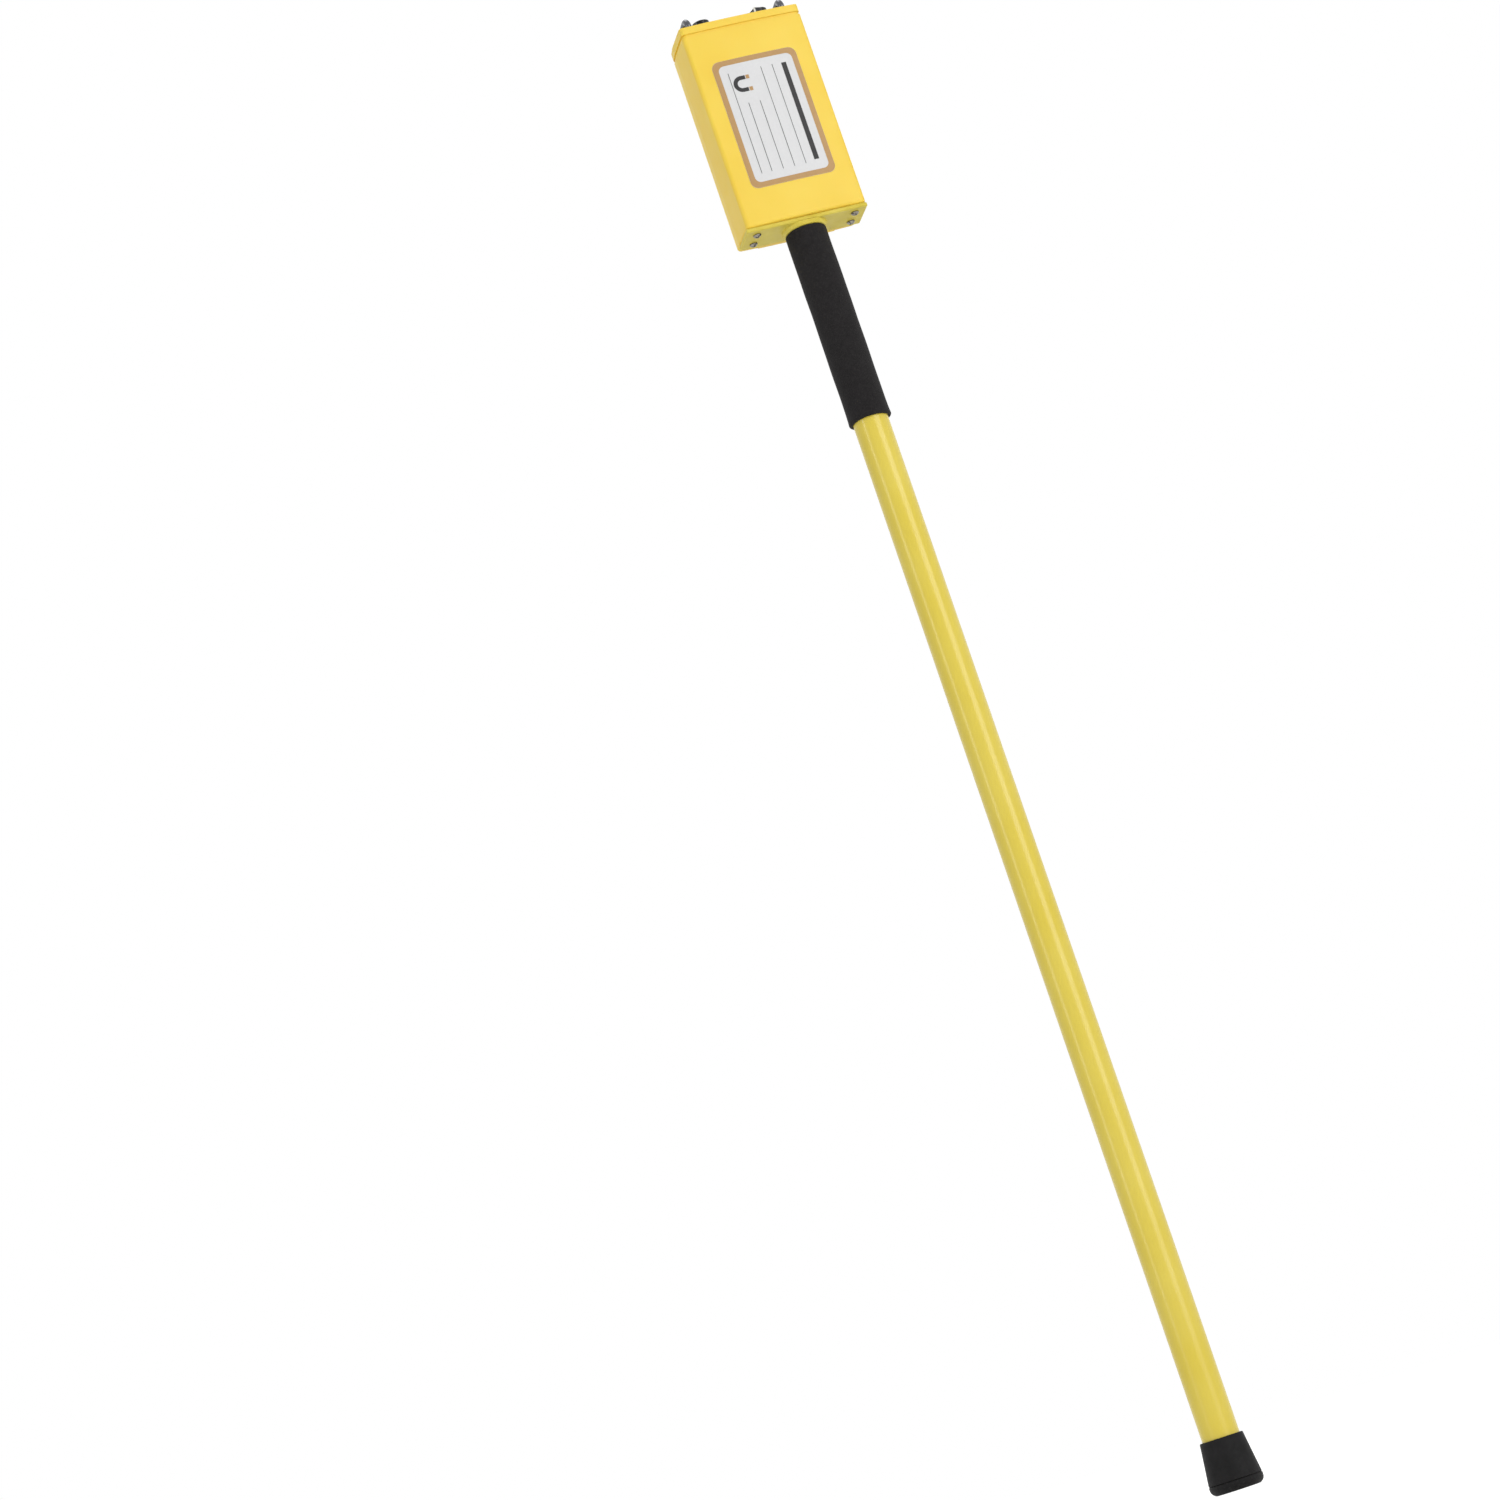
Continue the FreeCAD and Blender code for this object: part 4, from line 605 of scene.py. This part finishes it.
numbers = [(str(number + 1), *dial_spot(sensitivity_x, 90 - 30 * number)) for number in range(6)]
dial_numbers = printed("dial_numbers", numbers, 2.1)
off_word = printed("off_word", [("OFF", *dial_spot(volume_x, 210, dial_reach + 0.7))], 1.9)
black_ink = film("black_screen_ink", "#1C1B1A", "#272625", 0.42)
dress(dial_numbers, black_ink)
dress(off_word, black_ink)


def flat_print(outer, inner):
    """Points of a printed line between two outlines (x, y) on the overlay, both anticlockwise."""
    rows = [np.column_stack([line, np.full(len(line), print_level)]) for line in (outer, inner)]
    return np.stack(rows)


def disc(x, y, radius, start=0.0, stop=360.0, steps=32):
    """An arc or circle of points round a spot."""
    angle = np.radians(np.linspace(start, stop, steps + (stop - start < 360), endpoint=stop - start < 360))
    return np.column_stack([x + radius * np.cos(angle), y + radius * np.sin(angle)])


def framed(x, y, half_x, half_y):
    """The corners of a rectangle."""
    return np.array([(x - half_x, y - half_y), (x + half_x, y - half_y),
                     (x + half_x, y + half_y), (x - half_x, y + half_y)])


dots = [flat_print(disc(*dial_spot(volume_x, angle), 0.8), disc(*dial_spot(volume_x, angle), 0.0))
        for angle in (90, 120, 150, 180)]
volume_dots = surface("volume_dots", dots, "locator")
dress(volume_dots, black_ink)

# the signs: an outlined battery with its terminal and one bar, and a wedge that rises to the right
battery_y, sign_y = lamp_y + 4.9, dial_y + 12.9
battery = [flat_print(framed(lamp_x, battery_y, 2.2, 1.1), framed(lamp_x, battery_y, 1.95, 0.85)),
           flat_print(framed(lamp_x - 2.45, battery_y, 0.25, 0.5),
                      framed(lamp_x - 2.45, battery_y, 0.0, 0.0)),
           flat_print(framed(lamp_x + 1.3, battery_y, 0.35, 0.6),
                      framed(lamp_x + 1.3, battery_y, 0.0, 0.0))]
wedge_out = np.array([(sensitivity_x + 5.2, sign_y + 1.2), (sensitivity_x - 5.2, sign_y + 1.2),
                      (sensitivity_x - 5.2, sign_y - 1.2)])
wedge_middle = wedge_out.mean(axis=0)
wedge = [flat_print(wedge_out, wedge_middle + 0 * wedge_out)]
signs = surface("battery_sign", battery, "locator")
dress(signs, black_ink)
wedge_sign = surface("wedge_sign", wedge, "locator")
dress(wedge_sign, black_ink)

# a speaker: a square, a horn, and three arcs of sound
horn = np.array([(volume_x + 2.4, sign_y - 0.6), (volume_x + 2.4, sign_y + 0.6),
                 (volume_x + 1.4, sign_y + 0.6), (volume_x + 0.1, sign_y + 1.5),
                 (volume_x + 0.1, sign_y - 1.5), (volume_x + 1.4, sign_y - 0.6)])
horn_print = flat_print(horn, horn.mean(axis=0) + 0 * horn)
speaker_sign = surface("speaker_sign", [horn_print], "locator")
dress(speaker_sign, black_ink)
sound = [flat_print(disc(volume_x + 0.6, sign_y, reach + 0.28, 140, 220, 16),
                    disc(volume_x + 0.6, sign_y, reach, 140, 220, 16)) for reach in (1.8, 2.9, 4.0)]
sound_sign = surface("sound_sign", sound, "locator", close_columns=False)
dress(sound_sign, black_ink)

# Guard handles. Steel rod, 3/16 inch, bent to a U over the panel's ends, polished and chromed,
# and screwed on from below. In a dark room chrome mirrors more dark than light, so its own grey
# is set deep here, where the air is white.
rod_radius, bend_radius, panel_top, handle_top = 2.38, 6.5, 1063.0, 1085.0
handle_y, leg_half = 3.2, 11.7


def guard_rod(x):
    """Points of one rod: a circle carried up the front leg, round a bend, over, and down.

    Path in the YZ plane: legs straight, bends quarter circles of the bend's radius. Across = X and
    the path's own normal, so the rod keeps its round section."""
    bend_z = handle_top - rod_radius - bend_radius
    turn = np.linspace(0, np.pi / 2, 17)
    front = handle_y - leg_half + bend_radius
    back = handle_y + leg_half - bend_radius
    leg = np.linspace(panel_top, bend_z, 12)[:-1]
    path_y = np.concatenate([np.full(11, front - bend_radius), front - bend_radius * np.cos(turn),
                             back + bend_radius * np.sin(turn), np.full(11, back + bend_radius)])
    path_z = np.concatenate([leg, bend_z + bend_radius * np.sin(turn),
                             bend_z + bend_radius * np.cos(turn), leg[::-1]])
    lean = np.concatenate([np.zeros(11), turn, np.pi / 2 + turn, np.full(11, np.pi)])
    angle = np.linspace(0, 2 * np.pi, 48, endpoint=False)
    size = np.full(len(path_y), rod_radius)
    order = np.concatenate([[0], np.arange(len(path_y)), [len(path_y) - 1]])
    size = np.concatenate([[0.0], size, [0.0]])[:, None]
    across = size * np.cos(angle)
    out = -size * np.sin(angle)
    y = path_y[order, None] - out * np.cos(lean[order, None])
    z = path_z[order, None] + out * np.sin(lean[order, None])
    return np.stack([x + across, y, z], axis=2)


chrome = bright_metal("polished_chrome", "#646468", "#59595D", 0.06, 4.0)
for word, x in (("left", -35.2), ("right", 35.2)):
    rod = surface(f"guard_rod_{word}", [guard_rod(x)], "locator", crease=50)
    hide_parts(f"handle_{word}")
    dress(rod, chrome)
handle_screw_spots = [(x, handle_y + side * leg_half, 1061.4) for x in (35.2, -35.2) for side in (1, -1)]
rod_screws = screw_set("rod_screws", "handle_screws", "locator", handle_screw_spots,
                       (0, 0, -1), 2.4, 2.4, 1.25, 9.0, 0.6)
dress(rod_screws, bright_zinc)

# Knobs. Black ABS moulded with fifty flutes and a wedge pointer, polished in the tool so that the
# flanks mirror the panel. A spun aluminium cap is glued in the top, and the pointer's line is
# a strip of white plastic let into its ridge, with a round end.
knob_plastic, tree, place = new_material("glossy_black_abs")
grease = spread(tree, noise(tree, place, 3.5, 4, 0.6), 0.4, 0.7, 0, 1)
finish_with(tree, add(tree, "ShaderNodeBsdfPrincipled", {
    "Base Color": blend_colours(tree, grease, linear("#0C0C0D"), linear("#141415")),
    "Roughness": spread(tree, grease, 0, 1, 0.12, 0.26), "IOR": 1.54,
    "Normal": relief(tree, noise(tree, place, 0.8, 2), 0.008)}))

# Spun aluminium: fine turning rings 0.12 mm apart, so that the gloss forms two bright fans. The
# tangent runs round the cap's own middle.
spun, tree, place = new_material("spun_aluminium")
round_cap = add(tree, "ShaderNodeTangent", direction_type="RADIAL", axis="Z").outputs[0]
for_side = add(tree, "ShaderNodeMapping", {"Vector": place, "Location": (-0.0219, -0.0053, 0.0)})
other_side = add(tree, "ShaderNodeMapping", {"Vector": place, "Location": (0.0219, -0.0053, 0.0)})
reaches = [add(tree, "ShaderNodeVectorMath", {0: where.outputs[0], 1: (1.0, 1.0, 0.0)}, operation="MULTIPLY")
           for where in (for_side, other_side)]
reaches = [add(tree, "ShaderNodeVectorMath", {0: flat.outputs[0]}, operation="LENGTH").outputs["Value"]
           for flat in reaches]
reach = add(tree, "ShaderNodeMath", {0: reaches[0], 1: reaches[1]}, operation="MINIMUM").outputs[0]
rings = add(tree, "ShaderNodeTexNoise", {"W": reach, "Scale": 1000 / 0.24, "Detail": 3.0, "Roughness": 0.7},
            noise_dimensions="1D").outputs["Fac"]
# the grey is set deep, a painted stand-in for the dark room that the cap would mirror, as the air here is
# white
tone = blend_colours(tree, spread(tree, rings, 0.3, 0.7, 0, 1), linear("#A2A2A6"), linear("#8E8E92"))
finish_with(tree, add(tree, "ShaderNodeBsdfPrincipled", {
    "Base Color": tone, "Metallic": 1.0, "Roughness": spread(tree, rings, 0.3, 0.7, 0.24, 0.38),
    "Anisotropic": 0.85, "Tangent": round_cap, "Normal": relief(tree, rings, 0.002)}))

white_inlay, tree, place = new_material("white_inlay_plastic")
grime = spread(tree, noise(tree, place, 0.6, 4, 0.6), 0.5, 0.8, 0, 0.5)
finish_with(tree, add(tree, "ShaderNodeBsdfPrincipled", {
    "Base Color": blend_colours(tree, grime, linear("#EDEDEA"), linear("#CFCDC6")), "Roughness": 0.4,
    "IOR": 1.5, "Normal": relief(tree, noise(tree, place, 0.5, 2), 0.01)}))

knob_top, knob_foot, pointer_reach = 1083.35, 1063.85, 8.85
inlay_half, inlay_start = 0.65, 5.75


def pointer_line(knob_x, angle):
    """Points of a pointer's inlay, rows across it from one edge to the other.

    Along: from the round end out over the ridge, over its edge and down the end face. The round
    end pulls each row's start back by half - sqrt(half^2 - across^2)."""
    across = inlay_half * np.sin(np.linspace(-np.pi / 2, np.pi / 2, 13))
    start = inlay_start + inlay_half - np.sqrt(np.clip(inlay_half ** 2 - across ** 2, 0, None))
    lift = 0.03
    out = np.array([0, 0.5, 1.0, 1.0, 1.0, 1.0])
    down = np.array([knob_top + lift] * 3 + [knob_top - 0.2, (knob_top + knob_foot) / 2, knob_foot + 0.3])
    radial = start[:, None] * (1 - out) + (pointer_reach + lift) * out
    c, s = math.cos(math.radians(angle)), math.sin(math.radians(angle))
    side = across[:, None] + 0 * radial
    return np.stack([knob_x + radial * c - side * s, dial_y + radial * s + side * c,
                     down + 0 * radial], axis=2)


for word, x, angle in (("sensitivity", sensitivity_x, -120.0), ("volume", volume_x, 30.0)):
    dress(f"{word}_knob", knob_plastic)
    dress(f"{word}_knob_cap", spun)
    inlay = surface(f"{word}_pointer_line", [pointer_line(x, angle)], word, close_columns=False)
    dress(inlay, white_inlay)

# Lamp. A clear epoxy light-emitting diode, 5 mm, with a domed end. Inside stand its two steel
# leads, one with the dished post that carries the chip.
lamp_radius, lamp_flange, flange_foot, lamp_foot, lamp_top = 2.5, 2.9, 1058.4, 1061.4, 1069.0
lamp_profile = [(0, flange_foot), (lamp_flange, flange_foot), (lamp_flange, lamp_foot),
                (lamp_radius, lamp_foot)]
lamp_profile += quarter(0, lamp_top - lamp_radius, lamp_radius, 0, 90, 14)
lens_body = surface("lamp_epoxy", [turned(lamp_profile, 72, lamp_x, lamp_y)], "locator", crease=50)
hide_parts("led_lamp")
epoxy, tree, place = new_material("clear_epoxy")
finish_with(tree, add(tree, "ShaderNodeBsdfPrincipled", {
    "Base Color": blend_colours(tree, spread(tree, noise(tree, place, 2, 2), 0.3, 0.7, 0, 1),
                                linear("#F4F6F2"), linear("#EEF1EA")),
    "Roughness": 0.03, "IOR": 1.54, "Transmission Weight": 1.0,
    "Normal": relief(tree, noise(tree, place, 1.5, 1), 0.01)}))
dress(lens_body, epoxy)
dish = [(0, 1059.0), (0.3, 1059.0), (0.3, 1064.2), (0.95, 1064.4), (0.95, 1065.4), (0.75, 1065.4),
        (0.35, 1064.9), (0, 1064.9)]
post = [(0, 1059.0), (0.26, 1059.0), (0.26, 1065.0), (0.5, 1065.2), (0.5, 1065.6), (0, 1065.6)]
chip = [(0, 1064.9), (0.2, 1064.9), (0.2, 1065.15), (0, 1065.15)]
frame_grids = [turned(dish, 24, lamp_x + 0.45, lamp_y), turned(post, 16, lamp_x - 1.0, lamp_y),
               turned(chip, 8, lamp_x + 0.45, lamp_y)]
lamp_frame = surface("lamp_lead_frame", frame_grids, "locator")
dress(lamp_frame, bright_metal("silvered_steel", "#D8D8D4", "#B5B5AE", 0.2, 0.5))

# Panel hardware. Nickelled brass nuts and washers, ground steel shafts and blackened grub screws
# hold the knobs; a black nylon ring holds the lamp from below.
nickel = bright_metal("nickelled_brass", "#C9C3B4", "#A79F8E", 0.2, 0.8)
for node in ("sensitivity_nut", "volume_nut", "sensitivity_washer", "volume_washer"):
    dress(node, nickel)
ground_steel = bright_metal("ground_steel_rod", "#B4B4B5", "#8F8F91", 0.3, 0.3)
dress("sensitivity_shaft", ground_steel)
dress("volume_shaft", ground_steel)
blackened = bright_metal("blackened_steel", "#3C3B3D", "#2A292B", 0.35, 0.5)
dress("sensitivity_set_screw", blackened)
dress("volume_set_screw", blackened)


def moulded_plastic(name, base, deep, grain_mm, roughness):
    """A moulded plastic: its grain, a slow drift of tone, and an even gloss with faint flow marks."""
    material, tree, place = new_material(name)
    flow = add(tree, "ShaderNodeMapping", {"Vector": place, "Scale": (1.0, 1.0, 0.3)})
    drift = spread(tree, noise(tree, flow.outputs[0], 8, 3), 0.3, 0.7, 0, 1)
    finish_with(tree, add(tree, "ShaderNodeBsdfPrincipled", {
        "Base Color": blend_colours(tree, drift, linear(base), linear(deep)),
        "Roughness": spread(tree, drift, 0, 1, roughness, roughness + 0.1), "IOR": 1.5,
        "Normal": relief(tree, noise(tree, place, grain_mm, 3, 0.6), 0.015)}))
    return material


black_nylon = moulded_plastic("black_nylon", "#161617", "#1F1F20", 0.5, 0.45)
dress("led_retainer", black_nylon)

# Rotary switch and volume control. Phenolic cases with a pressed cover, soldered below.
phenolic = moulded_plastic("black_phenolic", "#1B1715", "#2A231F", 0.3, 0.4)
dress("sensitivity_switch", phenolic)
dress("volume_control", phenolic)

# Circuit board. Glass laminate with a green mask over its copper tracks, which run square at a
# spacing of 1.27 mm and show as paler lines.
board, tree, place = new_material("green_solder_mask")
upright = add(tree, "ShaderNodeMapping", {"Vector": place, "Rotation": (math.radians(90), 0.0, 0.0)})
tracks = add(tree, "ShaderNodeTexBrick", {
    "Vector": upright.outputs[0],
    "Color1": linear("#17502C"), "Color2": linear("#1A5A32"), "Mortar": linear("#2B7A46"), "Scale": 1.0,
    "Mortar Size": 0.00016, "Mortar Smooth": 0.3, "Brick Width": 0.0102, "Row Height": 0.00254}, offset=0.37)
finish_with(tree, add(tree, "ShaderNodeBsdfPrincipled", {
    "Base Color": tracks.outputs["Color"],
    "Roughness": spread(tree, noise(tree, place, 4, 3), 0.3, 0.7, 0.25, 0.4),
    "IOR": 1.55, "Normal": relief(tree, tracks.outputs["Fac"], 0.03)}))
dress("circuit_board", board)
board_screw_spots = [(x, -3.2, 968.0 + z) for x in (27.0, -27.0) for z in (35.0, -35.0)]
board_screws = screw_set("small_board_screws", "board_screws", "locator", board_screw_spots,
                         (0, 1, 0), 2.2, 2.2, 1.1, 8.0, 0.2)
dress(board_screws, bright_zinc)
dress("lead_connector", black_nylon)
dress("sensor_lead", moulded_plastic("grey_vinyl_jacket", "#3A3A3B", "#4A4A4B", 0.4, 0.5))

# Batteries. Two 9-volt blocks in printed steel jackets: a dark body under a pale band, and their
# snap connectors in black vinyl.
jacket, tree, place = new_material("printed_steel_jacket")
level = add(tree, "ShaderNodeSeparateXYZ", {0: place}).outputs["Z"]
band_foot, band_blur = 0.9500, 0.0002
band = spread(tree, level, band_foot, band_foot + band_blur, 0, 1)
print_tone = blend_colours(tree, band, linear("#26282C"), linear("#C8A24A"))
rubbed = spread(tree, noise(tree, place, 3, 5, 0.7), 0.55, 0.8, 0, 0.5)
finish_with(tree, add(tree, "ShaderNodeBsdfPrincipled", {
    "Base Color": blend_colours(tree, rubbed, print_tone, linear("#6E6E70")), "Metallic": 0.4,
    "Roughness": spread(tree, rubbed, 0, 0.5, 0.3, 0.5),
    "Normal": relief(tree, noise(tree, place, 1, 3), 0.01)}))
dress("battery_left", jacket)
dress("battery_right", jacket)
dress("battery_snaps", moulded_plastic("black_soft_vinyl", "#18181A", "#232325", 0.6, 0.5))

# Speaker. A pressed steel basket with a doped paper cone, held in its ring by a bead of glue.
cone, tree, place = new_material("doped_paper_cone")
pulp = noise(tree, place, 0.8, 5, 0.7)
finish_with(tree, add(tree, "ShaderNodeBsdfPrincipled", {
    "Base Color": blend_colours(tree, spread(tree, pulp, 0.3, 0.7, 0, 1),
                                linear("#1D1C1B"), linear("#2C2A28")),
    "Roughness": 0.8, "Normal": relief(tree, pulp, 0.05)}))
dress("speaker", cone)

# Inside the tube. A plug, a slotted carrier of natural nylon, two sensors in drawn steel cans a
# foot and two thirds apart, and foam rings that centre the carrier.
dress("tube_plug", rubber)
dress("sensor_carrier", moulded_plastic("natural_nylon_rod", "#DDD8C6", "#D2CCB8", 0.8, 0.5))
drawn_can = bright_metal("drawn_steel_can", "#BDBCB6", "#A3A29C", 0.25, 0.6)
dress("lower_sensor", drawn_can)
dress("upper_sensor", drawn_can)
dress("carrier_spacers", foam)

# Studio. White paper under the tip, white air around, four soft lamps, and the camera where the
# photographer's was. Camera, glossy and clear rays see the paper and the air as white.
floor_half = 6.0
floor_mesh = bpy.data.meshes.new("studio_floor")
floor_mesh.from_pydata([(-floor_half, -floor_half, 0), (floor_half, -floor_half, 0),
                        (floor_half, floor_half, 0), (-floor_half, floor_half, 0)], [], [(0, 1, 2, 3)])
floor = bpy.data.objects.new("studio_floor", floor_mesh)
bpy.context.scene.collection.objects.link(floor)


def seen_straight(tree):
    """1 for camera, glossy and transmission rays, otherwise 0."""
    rays = add(tree, "ShaderNodeLightPath").outputs
    pair = add(tree, "ShaderNodeMath", {0: rays["Is Camera Ray"], 1: rays["Is Glossy Ray"]},
               operation="MAXIMUM")
    return add(tree, "ShaderNodeMath", {0: pair.outputs[0], 1: rays["Is Transmission Ray"]},
               operation="MAXIMUM").outputs[0]


paper, tree, place = new_material("white_paper")
tooth = noise(tree, place, 2, 3)
paper_glow = 0.55
lift = add(tree, "ShaderNodeMath", {0: seen_straight(tree), 1: paper_glow}, operation="MULTIPLY").outputs[0]
matt = add(tree, "ShaderNodeBsdfDiffuse", {
    "Color": blend_colours(tree, spread(tree, tooth, 0.3, 0.7, 0, 1), linear("#F4F4F2"), linear("#F1F1EF"))})
glow = add(tree, "ShaderNodeEmission", {"Color": (1, 1, 1, 1), "Strength": lift})
finish_with(tree, add(tree, "ShaderNodeAddShader", {0: matt.outputs[0], 1: glow.outputs[0]}))
floor_mesh.materials.append(paper)

world = bpy.data.worlds.new("studio_air")
world.use_nodes = True
tree = world.node_tree
tree.nodes.clear()
air_light = 0.50
level = spread(tree, seen_straight(tree), 0, 1, air_light, 1.0)
air = add(tree, "ShaderNodeBackground", {"Color": (1, 1, 1, 1), "Strength": level})
add(tree, "ShaderNodeOutputWorld", {"Surface": air.outputs[0]})
bpy.context.scene.world = world

middle = (Vector(cad_box[0]) + Vector(cad_box[1])) / 2


def soft_lamp(name, azimuth, elevation, distance, width, height, power):
    """A soft rectangular lamp aimed at the middle of the part, placed by angles seen from it."""
    turn, rise = math.radians(azimuth), math.radians(elevation)
    away = Vector((math.sin(turn) * math.cos(rise), -math.cos(turn) * math.cos(rise), math.sin(rise)))
    lamp = bpy.data.lights.new(name, "AREA")
    lamp.shape = "RECTANGLE"
    lamp.size = width
    lamp.size_y = height
    lamp.energy = power
    thing = bpy.data.objects.new(name, lamp)
    thing.location = middle + away * distance
    thing.rotation_euler = away.to_track_quat("Z", "Y").to_euler()
    bpy.context.scene.collection.objects.link(thing)


soft_lamp("key_lamp", 26, 18, 3.0, 1.5, 2.7, 38)
soft_lamp("fill_lamp", -66, 18, 3.0, 0.5, 2.7, 14)
soft_lamp("back_lamp", 160, 40, 3.0, 2.0, 2.0, 18)
soft_lamp("top_lamp", 180, 82, 3.0, 1.6, 1.6, 16)

# Camera. Its place, aim and lens come from the outline of the part in the photograph.
camera_place = (-0.6918, -2.1777, 0.0515)
camera_right = Vector((0.93891, -0.16048, -0.30446))
camera_down = Vector((-0.25304, 0.27772, -0.92674))
camera_ahead = Vector((0.23327, 0.94716, 0.22015))
lens = bpy.data.cameras.new("photo_camera")
lens.sensor_fit = "HORIZONTAL"
lens.sensor_width = 36.0
lens.lens = 82.226
lens.clip_end = 50.0
camera = bpy.data.objects.new("photo_camera", lens)
aim = Matrix((camera_right, -camera_down, -camera_ahead)).transposed()
camera.matrix_world = Matrix.Translation(camera_place) @ aim.to_4x4()
bpy.context.scene.collection.objects.link(camera)
bpy.context.scene.camera = camera
bpy.context.scene.view_settings.view_transform = "Standard"
